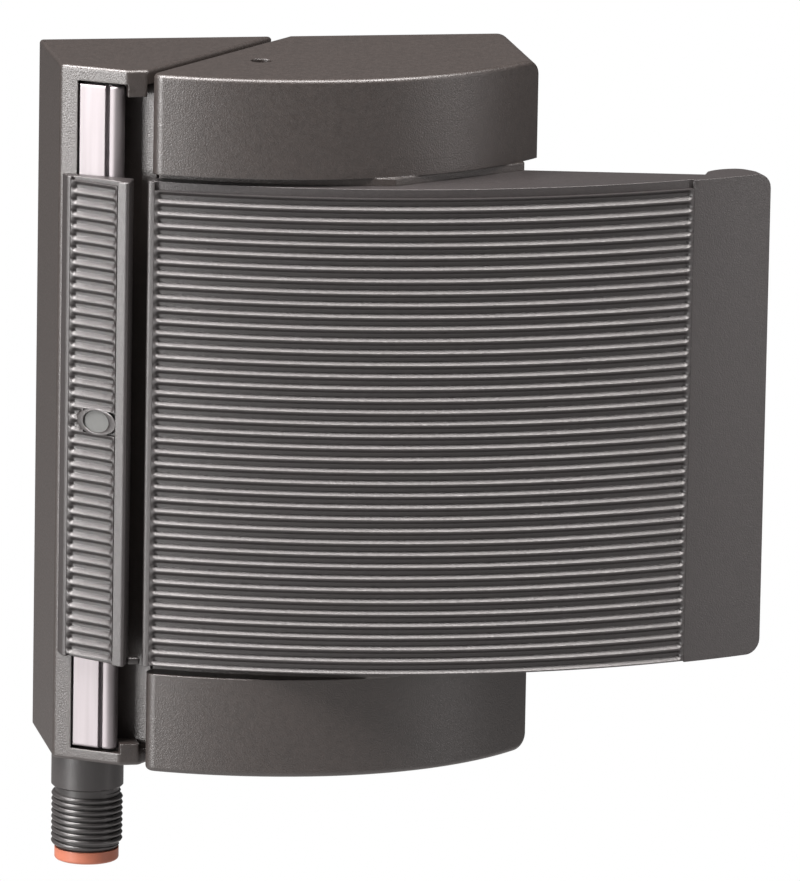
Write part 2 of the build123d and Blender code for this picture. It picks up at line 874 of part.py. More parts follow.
def contact_carrier():
    """The insulator that carries the contacts."""
    head_low = connector_bottom + mouth_length - carrier_head_length
    carrier = connector_post(mouth_radius - part_play, head_low, head_low + carrier_head_length)
    carrier += connector_post(stub_bore - part_play, head_low, -half + stub_length)
    for x, depth in pin_places():
        carrier -= post(pin_radius + part_play / 2, x, depth, -far, far)
    return carrier


def contact_pins():
    """The contacts, from the small board down into the connector's mouth."""
    top = connector_board_low + connector_board_thickness + pin_top_past_board
    low = connector_bottom + pin_end_inset
    return both([post(pin_radius, x, depth, low, top) for x, depth in pin_places()])


def connector_board():
    """The small board that joins the contacts to the main board."""
    side = pin_circle + pin_radius + connector_board_margin
    x = connector_from_left
    top = connector_board_low + connector_board_thickness
    board = slab(x - side, x + side, led_front, connector_depth + side, connector_board_low, top)
    for px, depth in pin_places():
        board -= post(pin_radius + part_play / 2, px, depth, -far, far)
    return board


def dust_plug():
    """The plug in the connector's mouth."""
    plug = connector_post(plug_flange_radius, connector_bottom - plug_flange_height, connector_bottom)
    plug = fillet(plug.edges().sort_by(Axis.Z)[0], plug_rim_radius)
    radius = mouth_radius - part_play
    plug += connector_post(radius, connector_bottom, connector_bottom + plug_insert_length)
    floor = connector_bottom - plug_flange_height + plug_floor
    return plug - connector_post(radius - plug_wall, floor, far)


body_plate_left = body_back_left + body_face_wall + part_play
body_plate_right = body_right_middle - body_wall + plate_ledge
body_plate_size = (body_plate_left, body_plate_right, body_end_wall)
body_mounts = mount_places((body_mount_left, body_mount_right))
body_corners = plate_corners(body_screw_left, body_screw_right)
seat_radius = wing_radius - wing_wall
seat_bend_depth = arc_at(seat_radius, wing_seat_bend)
seat_fall = (seat_bend_depth - wing_seat_end_depth) / (body_right_middle - wing_seat_bend)


def seat_line(from_left, inset=0.0):
    """Depth of the flat seat under the wing's root, set in by a wall."""
    drop = inset * sqrt(1 + seat_fall**2)
    return seat_bend_depth - seat_fall * (from_left - wing_seat_bend) - drop


wing_screw_front = seat_line(wing_screw_from_left)
wing_screw_seat = wing_screw_front - wing_screw_wall
wing_insert_start = wing_screw_front + wing_insert_sink


def arc_line(radius, left, right):
    """The part of an arc about the wing's centre between two distances from the left."""
    middle = (left + right) / 2
    return ThreePointArc(*[at(x, arc_at(radius, x)) for x in (left, middle, right)])


def seat_face(inset, back_left, right, back):
    """The middle of the body in plan: interface, arc under the wing and flat seat, all set in by a wall."""
    radius = seat_radius - inset
    bend = wing_seat_bend
    left, left_depth = arc_meets_face(radius, back_left)
    corner = at(back_left - slope * back, back)
    lines = Polyline(at(bend, arc_at(radius, bend)), at(right, seat_line(right, inset)), at(right, back))
    lines += Polyline(at(right, back), corner, at(left, left_depth))
    return make_face(lines + arc_line(radius, left, bend))


def end_arc(radius, from_left):
    """Depth of one of the two arcs that meet at the body's peak."""
    return body_peak_depth - radius + sqrt(radius**2 - (from_left - body_peak_from_left) ** 2)


def end_arc_line(radius, left, right):
    """The part of such an arc between two distances from the left."""
    middle = (left + right) / 2
    return ThreePointArc(*[at(x, end_arc(radius, x)) for x in (left, middle, right)])


def end_face():
    """The full-height ends of the body in plan."""
    centre = body_peak_depth - body_left_radius
    left, left_depth = circle_meets_face(body_peak_from_left, centre, body_left_radius, body_back_left)
    right = body_right_end
    lines = end_arc_line(body_left_radius, left, body_peak_from_left)
    lines += end_arc_line(body_right_radius, body_peak_from_left, right)
    corners = (at(right, end_arc(body_right_radius, right)), at(right, 0), at(body_back_left, 0))
    lines += Polyline(*corners, at(left, left_depth))
    return make_face(lines)


def rounded_front(left, right, height, radius):
    """A block from the back plane forwards, with the two right corners of its front view rounded."""
    x, y = at((left + right) / 2, 0)
    shape = Pos(x, y, 0) * Rot(90, 0, 0) * extrude(Rectangle(right - left, height), far, dir=(0, 0, 1))
    corners = [e for e in shape.edges().filter_by(Axis.Y) if e.center().X > x]
    return fillet(corners, radius)


def body_outer():
    """The outside of the actuator's body."""
    end = raised(end_face(), cap_underside, half)
    end = fillet(end.edges().filter_by(Axis.Z).sort_by(Axis.X)[0], body_corner_radius)
    end &= rounded_front(body_peak_from_left - far, body_right_end, unit_height, body_front_corner)
    rims = [e for e in end.edges() if -e.center().Y > body_rim_from_back]
    rims = [e for e in rims if e.center().Z > cap_underside + body_rim_radius]
    end = fillet(rims, body_rim_radius)
    middle = raised(seat_face(0, body_back_left, body_right_middle, 0), -cap_underside, cap_underside)
    return middle + end + mirror(end, Plane.XY)


def wing_pads(outer):
    """Pads inside the body for the heads of the wing's screws."""
    front = arc_at(seat_radius, wing_screw_from_left)
    pads = [rod(wing_pad_radius, wing_screw_from_left, wing_screw_seat, front, z) for z in wing_screw_rows]
    return [p & outer for p in pads]


bulkhead_back = gap_across - pole_proud + armature_thickness + buffer_thickness


def actuator_body():
    """The moulded body of the actuator."""
    outer = body_outer()
    inner = half - body_end_wall
    face_left = body_back_left + body_face_wall / square
    right = body_right_middle - body_wall
    room = raised(seat_face(body_wall, face_left, right, plate_seat), -inner, inner)
    body = outer - room
    ledge = inner + plate_ledge
    body -= slab(body_plate_left, body_plate_right, 0, plate_seat, -ledge, ledge)
    high = bulkhead_length / 2
    body += block(bulkhead_back, bulkhead_back + bulkhead_thickness, -far, far, -high, high) & room
    for boss in bosses(outer, body_mounts, body_corners, body_end_wall) + wing_pads(outer):
        body += boss
    top_hole = (top_hole_from_left, top_hole_from_back)
    body += post(top_hole_boss, *top_hole, half - top_hole_depth - body_wall, half) & outer
    body -= post(top_hole_radius, *top_hole, half - top_hole_depth, half)
    body = bored(body, body_mounts, body_corners)
    for z in wing_screw_rows:
        head_room = wing_screw_head_radius + part_play * 2
        body -= rod(wing_screw_radius + part_play, wing_screw_from_left, plate_seat, far, z)
        body -= rod(head_room, wing_screw_from_left, plate_seat, wing_screw_seat, z)
    side = core_width / 2 + armature_play
    window = core_length / 2 + armature_length_past_core / 2 + armature_play
    front = gap_across + body_face_wall + part_play
    body -= block(-part_play, front, -side, side, -window, window)
    for z in armature_pin_rows:
        body -= disc(armature_pin_radius + armature_play, 0, bulkhead_back + bulkhead_thickness, 0, z)
    return body


def wing_blank():
    """The wing in plan made solid, before its ribs and pockets."""
    left = arc_meets_face(wing_radius, body_back_left)[0]
    inner_radius = seat_radius + seat_gap
    seat_left = arc_meets_face(inner_radius, body_back_left)[0]
    tip = wing_tip_from_left
    tip_depth = arc_at(wing_radius, tip)
    lip_end = (wing_lip_end, tip_depth - wing_lip_end_drop)
    lip_low = (wing_lip_low, tip_depth - wing_lip_low_drop)
    lip_start = (wing_lip_start, tip_depth - wing_lip_start_drop)
    neck = (wing_neck_from_left, arc_at(wing_radius - wing_neck_wall, wing_neck_from_left))
    root = (body_right_middle, seat_line(body_right_middle, -seat_gap))
    bend = (wing_seat_bend, arc_at(inner_radius, wing_seat_bend))
    lines = arc_line(wing_radius, left, tip)
    lines += Line(at(tip, tip_depth), at(*lip_end))
    lines += ThreePointArc(at(*lip_end), at(*lip_low), at(*lip_start))
    lines += Polyline(at(*lip_start), at(*neck), at(*root), at(*bend))
    lines += arc_line(inner_radius, wing_seat_bend, seat_left)
    lines += Line(at(seat_left, arc_at(inner_radius, seat_left)), at(left, arc_at(wing_radius, left)))
    blank = raised(make_face(lines), -wing_half, wing_half)
    upright = blank.edges().filter_by(Axis.Z)
    ends = [upright.sort_by(Axis.X)[-1], upright.sort_by(Axis.X)[-2], upright.sort_by(Axis.X)[0]]
    return fillet(ends, wing_edge_radius)


def wing_grooves():
    """The grooves between the wing's ribs."""
    x, y = at(wing_peak_from_left, arc_depth)
    ring = Cylinder(wing_radius + rib_groove_depth, rib_groove_width)
    ring -= Cylinder(wing_radius - rib_groove_depth, rib_groove_width)
    start = arc_meets_face(wing_radius, body_back_left)[0] + wing_rib_margin
    room = slab(start, wing_rib_end, 0, far, -rib_groove_width, rib_groove_width)
    groove = Pos(x, y, 0) * ring & room
    return Compound(children=[Pos(0, 0, z) * groove.solids()[0] for z in groove_heights()])


def wing_handle():
    """The ribbed wing that serves as the door handle."""
    wing = wing_blank() & rounded_front(0, wing_tip_from_left, wing_height, wing_tip_corner)
    for low, high in zip(wing_screw_rows[1:], wing_screw_rows):
        wing -= wing_pocket((low + high) / 2)
    for z in wing_screw_rows:
        front = wing_insert_start + wing_insert_length + part_play
        wing -= rod(wing_insert_radius + part_play / 2, wing_screw_from_left, 0, front, z)
    return wing - wing_grooves()


def wing_pocket(z):
    """One of the pockets in the back of the wing's root."""
    skin = wing_radius - wing_pocket_skin
    left = wing_pocket_left
    right = wing_pocket_right
    lines = arc_line(skin, left, right)
    ends = (at(right, arc_at(skin, right)), at(left, arc_at(skin, left)))
    lines += Polyline(ends[0], at(right, 0), at(left, 0), ends[1])
    side = (wing_screw_pitch - wing_pocket_web) / 2
    return raised(make_face(lines), z - side, z + side)


def wing_inserts():
    """The brass inserts in the wing's root."""
    place = (wing_screw_from_left, wing_insert_start, wing_insert_start + wing_insert_length)
    bore = wing_screw_radius + part_play / 2
    return both([rod(wing_insert_radius, *place, z) - rod(bore, *place, z) for z in wing_screw_rows])


def wing_screws():
    """The screws that hold the wing, put in from inside the body."""
    length = wing_screw_length + wing_screw_head_height
    size = (wing_screw_head_radius, wing_screw_head_height, wing_screw_radius, length)
    head = wing_screw_seat - wing_screw_head_height
    return both([screw_forward(*size, wing_screw_from_left, head, z) for z in wing_screw_rows])


armature_face = gap_across - pole_proud
armature_back = armature_face + armature_thickness


def armature_plate():
    """The steel plate that meets the magnet's poles."""
    side = core_width / 2
    high = core_length / 2 + armature_length_past_core / 2
    plate = block(armature_face, armature_back, -side, side, -high, high)
    for z in armature_pin_rows:
        bore = armature_pin_radius + part_play / 2
        plate -= disc(bore, armature_back - armature_pin_depth, armature_back, 0, z)
    return plate


def armature_pins():
    """The shouldered pins that carry the armature."""
    shapes = []
    head = bulkhead_back + bulkhead_thickness
    for z in armature_pin_rows:
        pin = disc(armature_pin_radius, armature_back - armature_pin_depth, head, 0, z)
        shapes.append(pin + disc(armature_pin_head, head, head + armature_pin_head_height, 0, z))
    return both(shapes)


def armature_buffers():
    """The rubber rings between the armature and the body."""
    shapes = []
    for z in armature_pin_rows:
        ring = disc(buffer_radius, armature_back, bulkhead_back, 0, z)
        shapes.append(ring - disc(armature_pin_radius + part_play, armature_back, bulkhead_back, 0, z))
    return both(shapes)


def coded_tag():
    """The tag that the reader coil reads."""
    inner = gap_across + body_face_wall
    return disc(tag_radius, inner, inner + tag_thickness, sensor_along, sensor_height_z)


def latch_magnet():
    """The magnet that keeps the door shut while the power is off."""
    return latch_block(gap_across + body_face_wall, latch_magnet_thickness)


def write_all():
    """Write every piece."""
    os.makedirs("parts", exist_ok=True)
    keep("switch_housing", switch_housing())
    keep("switch_back_plate", switch_back_plate())
    keep("switch_gasket", gasket(*switch_plate_size, switch_corners))
    keep("switch_plate_screws", plate_screws(switch_corners))
    keep("switch_mount_inserts", mount_inserts(switch_mounts))
    keep("front_rail", front_rail())
    keep("rail_screws", rail_screws())
    keep("ribbed_strip", ribbed_strip())
    keep("light_pipe", light_pipe())
    keep("status_led", status_led())
    keep("main_board", main_board())
    keep("board_screws", board_screws())
    keep("board_chips", board_chips())
    keep("board_capacitors", board_capacitors())
    keep("magnet_core", magnet_core())
    keep("coil_bobbin", coil_bobbin())
    keep("coil_winding", coil_winding())
    keep("reader_coil", reader_coil())
    keep("latch_plate", latch_plate())
    keep("connector_shell", connector_shell())
    keep("connector_o_ring", connector_o_ring())
    keep("connector_clip", connector_clip())
    keep("connector_board", connector_board())
    keep("contact_carrier", contact_carrier())
    keep("contact_pins", contact_pins())
    keep("dust_plug", dust_plug())
    keep("actuator_body", actuator_body())
    keep("actuator_back_plate", back_plate(*body_plate_size, body_mounts, body_corners))
    keep("actuator_gasket", gasket(*body_plate_size, body_corners))
    keep("actuator_plate_screws", plate_screws(body_corners))
    keep("actuator_mount_inserts", mount_inserts(body_mounts))
    keep("wing_handle", wing_handle())
    keep("wing_inserts", wing_inserts())
    keep("wing_screws", wing_screws())
    keep("armature_plate", armature_plate())
    keep("armature_pins", armature_pins())
    keep("armature_buffers", armature_buffers())
    keep("coded_tag", coded_tag())
    keep("latch_magnet", latch_magnet())


write_all()
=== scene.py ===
import math
import bmesh
import bpy
from mathutils import Matrix, Vector

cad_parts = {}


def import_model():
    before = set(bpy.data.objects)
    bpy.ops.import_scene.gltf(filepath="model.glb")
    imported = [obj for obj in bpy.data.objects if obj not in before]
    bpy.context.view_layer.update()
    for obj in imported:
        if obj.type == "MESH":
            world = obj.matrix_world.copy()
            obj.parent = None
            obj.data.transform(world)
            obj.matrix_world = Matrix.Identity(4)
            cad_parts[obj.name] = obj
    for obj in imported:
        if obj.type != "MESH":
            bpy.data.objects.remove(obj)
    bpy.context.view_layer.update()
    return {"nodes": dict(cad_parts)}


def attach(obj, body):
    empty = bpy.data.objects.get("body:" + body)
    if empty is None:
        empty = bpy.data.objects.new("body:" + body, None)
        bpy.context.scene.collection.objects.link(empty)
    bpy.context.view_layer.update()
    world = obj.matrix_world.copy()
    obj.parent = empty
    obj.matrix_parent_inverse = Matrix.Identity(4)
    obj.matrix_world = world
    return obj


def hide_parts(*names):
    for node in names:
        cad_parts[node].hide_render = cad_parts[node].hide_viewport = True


MM = 0.001

# Sizes are in millimetres. A place in plan is its distance from the switch's left side
# and its distance from the back plane. The two units meet along a line that slopes by TILT.
MOUNT_FROM_LEFT = 22.0
HALF = 57.5
TILT = math.tan(math.radians(40.0))
SWITCH_BACK = 38.3
GAP = 2.4
SIDE_DEPTH = 23.0
FRONT_RISE = 6.8
FRONT_SLOPE_WIDTH = 9.9
FRONT_SLOPE = FRONT_RISE / FRONT_SLOPE_WIDTH

# The wing: its front is an arc, its back rests on the actuator from the left to SEAT_END,
# and the finger lip curls round from LIP_START by LIP_LOW to LIP_END
WING_HALF = 40.0
WING_RADIUS = 120.0
WING_PEAK = 65.0
WING_PEAK_DEPTH = 45.5
WING_CENTRE_DEPTH = WING_PEAK_DEPTH - WING_RADIUS
WING_WALL = 3.8
SEAT_GAP = 0.15
SEAT_BEND = 52.0
SEAT_END = 75.4
SEAT_END_DEPTH = 28.6
NECK = (104.0, 34.96)
LIP_START = (105.0, 32.4)
LIP_LOW = (109.5, 30.2)
LIP_END = (114.6, 32.6)
TIP = 115.1
TIP_CORNER = 2.5
WING_LEFT_ROUND = 0.85
WING_EDGE = 0.35
RIBS_FROM = 13.9
RIBS_TO = 101.3
FRONT_STEPS = 70
TIP_STEPS = 14
LIP_STEPS = 12
SEAT_STEPS = 30
SAME_DEPTH = 1e-6

# The ribs, which are what troughs in an even row leave standing. Each trough is sunk into a band
# that is a little thinner than the recess for the ribs
TROUGH_COUNT = 40
RIB_PITCH = 1.957
WING_RIBS_LOWER = 0.55
CREST_WIDTH = 0.2
TROUGH_DEPTH = 0.70
TROUGH_STEEPNESS = 1.2
RIB_HEIGHT = 0.8
BAND_SHORTFALL = 0.02
BAND_POINTS = 21
WING_RIB_STEPS = 36
STRIP_RIB_STEPS = 3
ROUND_END_STEPS = 5
LARGEST_END_SHARE = 0.45

# The cover strip, with its ribs' ends as shares of its sloping face
STRIP_LEFT = 0.5
STRIP_FACE_LEFT = 0.8
STRIP_LIFT = 2.4
STRIP_FACE_LEFT_DEPTH = SIDE_DEPTH + FRONT_SLOPE * STRIP_FACE_LEFT + STRIP_LIFT
STRIP_FACE = ((STRIP_FACE_LEFT, STRIP_FACE_LEFT_DEPTH), (8.3, 33.5))
STRIP_FACE_LENGTH = math.dist(*STRIP_FACE)
STRIP_CREST = (9.7, 34.4)
STRIP_RIGHT = 11.1
STRIP_TAPER = 0.3
STRIP_CREST_ROUND = 0.7
STRIP_EDGE = 0.25
LUG_LENGTH = 1.6
LUG_HEIGHT = 1.2
LUG_FROM_FRONT = 1.0
LUG_DEPTH = 1.6
LUG_OVERLAP = 0.4
LUG_EDGE = 0.35
STRIP_RIB_START = 0.9
STRIP_RIB_END = 0.5
RIB_SHARE = (0.085, 0.952)
PAD_SHARE = 0.36

# The status light and the oval pad around it
LIGHT_FROM_LEFT = 5.4
LIGHT_RADIUS = 1.8
PAD_X = 2.75
PAD_Z = 2.2
PAD_SINK = 1.0
PAD_EDGE = 0.12
PAD_SHOULDER = 0.1
PAD_RISE = 0.02
PAD_MOUTH_PLAY = (0.18, 0.1)
PAD_BORE_PLAY = (0.05, 0.02)
PAD_STEPS = 64

# The connector: its place in plan, then its sizes, with the thread's run from THREAD_START upwards
CONNECTOR = (7.3, 13.0)
COLLAR_RADIUS = 5.95
COLLAR_LENGTH = 7.1
COLLAR_EDGE = 0.3
THREAD_RADIUS = 5.9
THREAD_LENGTH = 10.4
THREAD_ROOT = 5.3
THREAD_RELIEF = 0.6
THREAD_PITCH = 1.0
THREAD_WIDTH = 0.9
THREAD_START = 0.5
THREAD_ENDS = 0.6
THREAD_RUN = THREAD_LENGTH - THREAD_RELIEF - THREAD_ENDS
THREAD_TURN_STEPS = 48
THREAD_SECTION_POINTS = 8
THREAD_FADE = 0.05
ROOT_CHAMFER = 0.4
STUB_RADIUS = 4.0
STUB_LENGTH = 9.0
STUB_BORE = 3.5
MOUTH_RADIUS = 4.2
MOUTH_LENGTH = 13.0

# Metres and degrees, for every mesh
SAME_POINT = 1e-7
BEVEL_FROM = 35.0
SHARP_FROM = 32.0
GROWN_SHARP_FROM = 66.0

# Patterns of the materials: spots in a metre, heights in metres
PLASTIC_MOTTLE = 900.0
PLASTIC_DULLNESS = 2500.0
PLASTIC_GRAIN = 4200.0
PLASTIC_GRAIN_HEIGHT = 0.00008
METAL_STREAKS = 1500.0
METAL_DULLNESS = 900.0
METAL_GRAIN = 3000.0
METAL_GRAIN_HEIGHT = 0.00005
PLASTIC_ROUGHNESS_PLAY = 0.05
METAL_ROUGHNESS_PLAY = 0.04
METAL_STREAK_SHADE = 0.94
LENS_CLOUDS = 700.0
LENS_CLOUD_SHADE = 1.1
NOISE_LOW = 0.3
NOISE_HIGH = 0.7
EDGE_SAMPLES = 6

# The stage, in metres and watts
WHITE = (1.0, 1.0, 1.0)
MIRRORED_WHITE = 0.02
FLOOR_HEIGHT = -0.35
FLOOR_HALF = 3.0
FLOOR_COLOUR = (0.35, 0.35, 0.35)
WORLD_COLOUR = (1.0, 0.985, 0.98)
WORLD_STRENGTH = 0.085
LAMPS_AIM = (0.03, 0.0, 0.0)
LAMPS = (
    ("left softbox", (-1.08, -0.55, 0.12), (0.4, 0.5), 16.0, (1.0, 0.98, 0.97)),
    ("upper left softbox", (-0.65, -0.15, 1.0), (0.5, 0.6), 35.0, (1.0, 0.95, 0.94)),
    ("upper middle softbox", (0.0, -0.4, 1.05), (0.5, 0.3), 12.0, (1.0, 0.95, 0.93)),
    ("upper right softbox", (0.5, -0.35, 1.0), (0.5, 0.3), 14.0, (1.0, 0.95, 0.93)),
    ("right softbox", (1.1, -0.65, 0.2), (0.3, 0.8), 3.2, (1.0, 0.94, 0.93)),
)
EYE = (-0.269, -1.679, 0.351)
LOOK = (0.0362, -0.015, -0.0074)
LENS = 474.3
SENSOR = 36.0
ROLL = math.radians(1.03)


def place(from_left, depth, z=0.0):
    """The point in metres of a place in plan at a height."""
    return Vector(((from_left - MOUNT_FROM_LEFT) * MM, -depth * MM, z * MM))


# Materials


def new_material(name):
    """A new material, its tree and its shader."""
    material = bpy.data.materials.new(name)
    material.use_nodes = True
    tree = material.node_tree
    tree.nodes.clear()
    output = tree.nodes.new("ShaderNodeOutputMaterial")
    shader = tree.nodes.new("ShaderNodeBsdfPrincipled")
    tree.links.new(shader.outputs["BSDF"], output.inputs["Surface"])
    return material, tree, shader


def noise(tree, scale, detail=2.0, stretch=(1.0, 1.0, 1.0)):
    """Noise over the object's own coordinates, in metres."""
    where = tree.nodes.new("ShaderNodeTexCoord")
    mapping = tree.nodes.new("ShaderNodeMapping")
    mapping.inputs["Scale"].default_value = stretch
    tree.links.new(where.outputs["Object"], mapping.inputs["Vector"])
    texture = tree.nodes.new("ShaderNodeTexNoise")
    texture.inputs["Scale"].default_value = scale
    texture.inputs["Detail"].default_value = detail
    tree.links.new(mapping.outputs["Vector"], texture.inputs["Vector"])
    return texture.outputs["Fac"]


def spread(tree, value, low, high):
    """A noise's usual range stretched to a new one."""
    node = tree.nodes.new("ShaderNodeMapRange")
    node.inputs["From Min"].default_value = NOISE_LOW
    node.inputs["From Max"].default_value = NOISE_HIGH
    node.inputs["To Min"].default_value = low
    node.inputs["To Max"].default_value = high
    tree.links.new(value, node.inputs["Value"])
    return node.outputs["Result"]


def mixed(tree, factor, first, second):
    """A colour between two, by a factor."""
    node = tree.nodes.new("ShaderNodeMix")
    node.data_type = "RGBA"
    node.inputs["A"].default_value = (*first, 1.0)
    node.inputs["B"].default_value = (*second, 1.0)
    tree.links.new(factor, node.inputs["Factor"])
    return node.outputs["Result"]


def bump(tree, height, strength, distance, normal=None):
    """A normal that follows a height."""
    node = tree.nodes.new("ShaderNodeBump")
    node.inputs["Strength"].default_value = strength
    node.inputs["Distance"].default_value = distance
    tree.links.new(height, node.inputs["Height"])
    if normal is not None:
        tree.links.new(normal, node.inputs["Normal"])
    return node.outputs["Normal"]


def rounded_normal(tree, radius):
    """A normal that softens the edges by a radius in metres."""
    node = tree.nodes.new("ShaderNodeBevel")
    node.samples = EDGE_SAMPLES
    node.inputs["Radius"].default_value = radius
    return node.outputs["Normal"]


def plastic(name, colour, roughness, grain=0.25, mottle=0.06, edge=0.0, gloss=0.5):
    """A moulded plastic with a fine grain and a slight mottle."""
    material, tree, shader = new_material(name)
    patches = spread(tree, noise(tree, PLASTIC_MOTTLE, 3.0), 0.0, 1.0)
    dark = tuple(c * (1 - mottle) for c in colour)
    light = tuple(min(1.0, c * (1 + mottle)) for c in colour)
    tree.links.new(mixed(tree, patches, dark, light), shader.inputs["Base Color"])
    smoothest, roughest = roughness - PLASTIC_ROUGHNESS_PLAY, roughness + PLASTIC_ROUGHNESS_PLAY
    dull = spread(tree, noise(tree, PLASTIC_DULLNESS), smoothest, roughest)
    tree.links.new(dull, shader.inputs["Roughness"])
    normal = rounded_normal(tree, edge) if edge else None
    grained = bump(tree, noise(tree, PLASTIC_GRAIN), grain, PLASTIC_GRAIN_HEIGHT, normal)
    tree.links.new(grained, shader.inputs["Normal"])
    shader.inputs["Specular IOR Level"].default_value = gloss
    return material


def metal(name, colour, roughness, grain=0.1, stretch=(1.0, 1.0, 1.0), edge=0.0):
    """A plain metal with a fine drawn grain."""
    material, tree, shader = new_material(name)
    streaks = spread(tree, noise(tree, METAL_STREAKS, 3.0, stretch), 0.0, 1.0)
    dark = tuple(c * METAL_STREAK_SHADE for c in colour)
    tree.links.new(mixed(tree, streaks, dark, colour), shader.inputs["Base Color"])
    smoothest, roughest = roughness - METAL_ROUGHNESS_PLAY, roughness + METAL_ROUGHNESS_PLAY
    dull = spread(tree, noise(tree, METAL_DULLNESS, 2.0, stretch), smoothest, roughest)
    tree.links.new(dull, shader.inputs["Roughness"])
    normal = rounded_normal(tree, edge) if edge else None
    grained = bump(tree, noise(tree, METAL_GRAIN, 2.0, stretch), grain, METAL_GRAIN_HEIGHT, normal)
    tree.links.new(grained, shader.inputs["Normal"])
    shader.inputs["Metallic"].default_value = 1.0
    return material


def clear(name, colour, roughness):
    """A milky clear plastic."""
    material, tree, shader = new_material(name)
    cloud = spread(tree, noise(tree, LENS_CLOUDS), 0.0, 1.0)
    light = tuple(min(1.0, c * LENS_CLOUD_SHADE) for c in colour)
    tree.links.new(mixed(tree, cloud, colour, light), shader.inputs["Base Color"])
    shader.inputs["Roughness"].default_value = roughness
    shader.inputs["Transmission Weight"].default_value = 0.35
    shader.inputs["IOR"].default_value = 1.49
    return material


MATERIALS = {
    "housing": plastic(
        "dark housing plastic", (0.023, 0.018, 0.016), 0.40, grain=0.6, mottle=0.15, edge=0.0003, gloss=1.0
    ),
    "ribbed": plastic("dark ribbed plastic", (0.021, 0.018, 0.018), 0.42, grain=0.45, mottle=0.12, gloss=1.0),
    "connector": plastic("black connector plastic", (0.030, 0.028, 0.028), 0.36, grain=0.12, gloss=0.8),
    "rail": metal("satin rail metal", (0.315, 0.293, 0.303), 0.55, stretch=(1.0, 1.0, 0.03), edge=0.0002),
    "rubber": plastic("soft seal rubber", (0.020, 0.020, 0.021), 0.75, grain=0.35),
    "steel": metal("zinc screw steel", (0.62, 0.61, 0.59), 0.32, edge=0.0001),
    "brass": metal("insert brass", (0.72, 0.52, 0.24), 0.34),
    "iron": metal("plated magnet iron", (0.48, 0.48, 0.50), 0.38, edge=0.0001),
    "black magnet": plastic("coated black magnet", (0.035, 0.035, 0.038), 0.30),
    "copper": metal("winding copper", (0.62, 0.27, 0.14), 0.38, grain=0.6, stretch=(0.2, 0.2, 6.0)),
    "bobbin": plastic("pale bobbin plastic", (0.55, 0.53, 0.47), 0.5),
    "board": plastic("green circuit board", (0.020, 0.110, 0.045), 0.35, grain=0.1),
    "chip": plastic("black chip", (0.018, 0.018, 0.019), 0.5),
    "capacitor": metal("capacitor can", (0.66, 0.66, 0.67), 0.28),
    "light": clear("milky clear lens", (0.13, 0.134, 0.13), 0.4),
    "orange": plastic("orange plug plastic", (0.37, 0.12, 0.07), 0.38, grain=0.15, mottle=0.03, edge=0.0002),
}

CAD_LOOKS = {
    "housing": ("switch_housing", "actuator_body", "switch_back_plate", "actuator_back_plate"),
    "rubber": ("switch_gasket", "actuator_gasket", "connector_o_ring", "armature_buffers"),
    "steel": (
        "switch_plate_screws", "rail_screws", "board_screws", "actuator_plate_screws", "wing_screws",
        "armature_pins", "connector_clip", "latch_plate", "armature_plate",
    ),
    "brass": ("switch_mount_inserts", "actuator_mount_inserts", "wing_inserts", "contact_pins"),
    "rail": ("front_rail",),
    "iron": ("magnet_core",),
    "black magnet": ("latch_magnet",),
    "copper": ("coil_winding", "reader_coil"),
    "bobbin": ("coil_bobbin", "coded_tag", "status_led"),
    "board": ("main_board", "connector_board"),
    "chip": ("board_chips", "contact_carrier"),
    "capacitor": ("board_capacitors",),
    "light": ("light_pipe",),
    "orange": ("dust_plug",),
}


def paint(obj, material):
    """Give a mesh object one material."""
    obj.data.materials.clear()
    obj.data.materials.append(material)


# Meshes


def mesh_object(name, vertices, faces, material):
    """A mesh object with its faces turned outward."""
    mesh = bpy.data.meshes.new(name)
    mesh.from_pydata([tuple(v) for v in vertices], [], faces)
    work = bmesh.new()
    work.from_mesh(mesh)
    bmesh.ops.remove_doubles(work, verts=work.verts, dist=SAME_POINT)
    bmesh.ops.recalc_face_normals(work, faces=work.faces)
    work.to_mesh(mesh)
    work.free()
    mesh.update()
    obj = bpy.data.objects.new(name, mesh)
    bpy.context.scene.collection.objects.link(obj)
    mesh.materials.append(material)
    return obj


def mesh_from_rings(name, rings, material, endless=False):
    """Rings of points joined in a row. The ends are closed or, where endless, joined to each other."""
    count = len(rings[0])
    vertices = [point for ring in rings for point in ring]
    faces = []
    for ring in range(len(rings) if endless else len(rings) - 1):
        low, high = ring * count, (ring + 1) % len(rings) * count
        for i in range(count):
            j = (i + 1) % count
            faces.append((low + i, low + j, high + j, high + i))
    if not endless:
        faces.append(tuple(range(count))[::-1])
        faces.append(tuple(range(len(vertices) - count, len(vertices))))
    return mesh_object(name, vertices, faces, material)


def settle(obj):
    """Make the object's modifiers part of its mesh."""
    graph = bpy.context.evaluated_depsgraph_get()
    mesh = bpy.data.meshes.new_from_object(obj.evaluated_get(graph))
    old = obj.data
    obj.modifiers.clear()
    obj.data = mesh
    bpy.data.meshes.remove(old)


def smooth(obj, angle=SHARP_FROM):
    """Smooth shading with the edges sharper than an angle kept."""
    for polygon in obj.data.polygons:
        polygon.use_smooth = True
    obj.data.set_sharp_from_angle(angle=math.radians(angle))


def soften(obj, width, segments):
    """Round the sharp edges by a width and keep the flat faces evenly shaded."""
    bevel = obj.modifiers.new("rounded edges", "BEVEL")
    bevel.width = width * MM
    bevel.segments = segments
    bevel.limit_method = "ANGLE"
    bevel.angle_limit = math.radians(BEVEL_FROM)
    settle(obj)
    smooth(obj)
    even = obj.modifiers.new("even shading", "WEIGHTED_NORMAL")
    even.weight = 100
    even.keep_sharp = True
    settle(obj)


# Ribs and thread


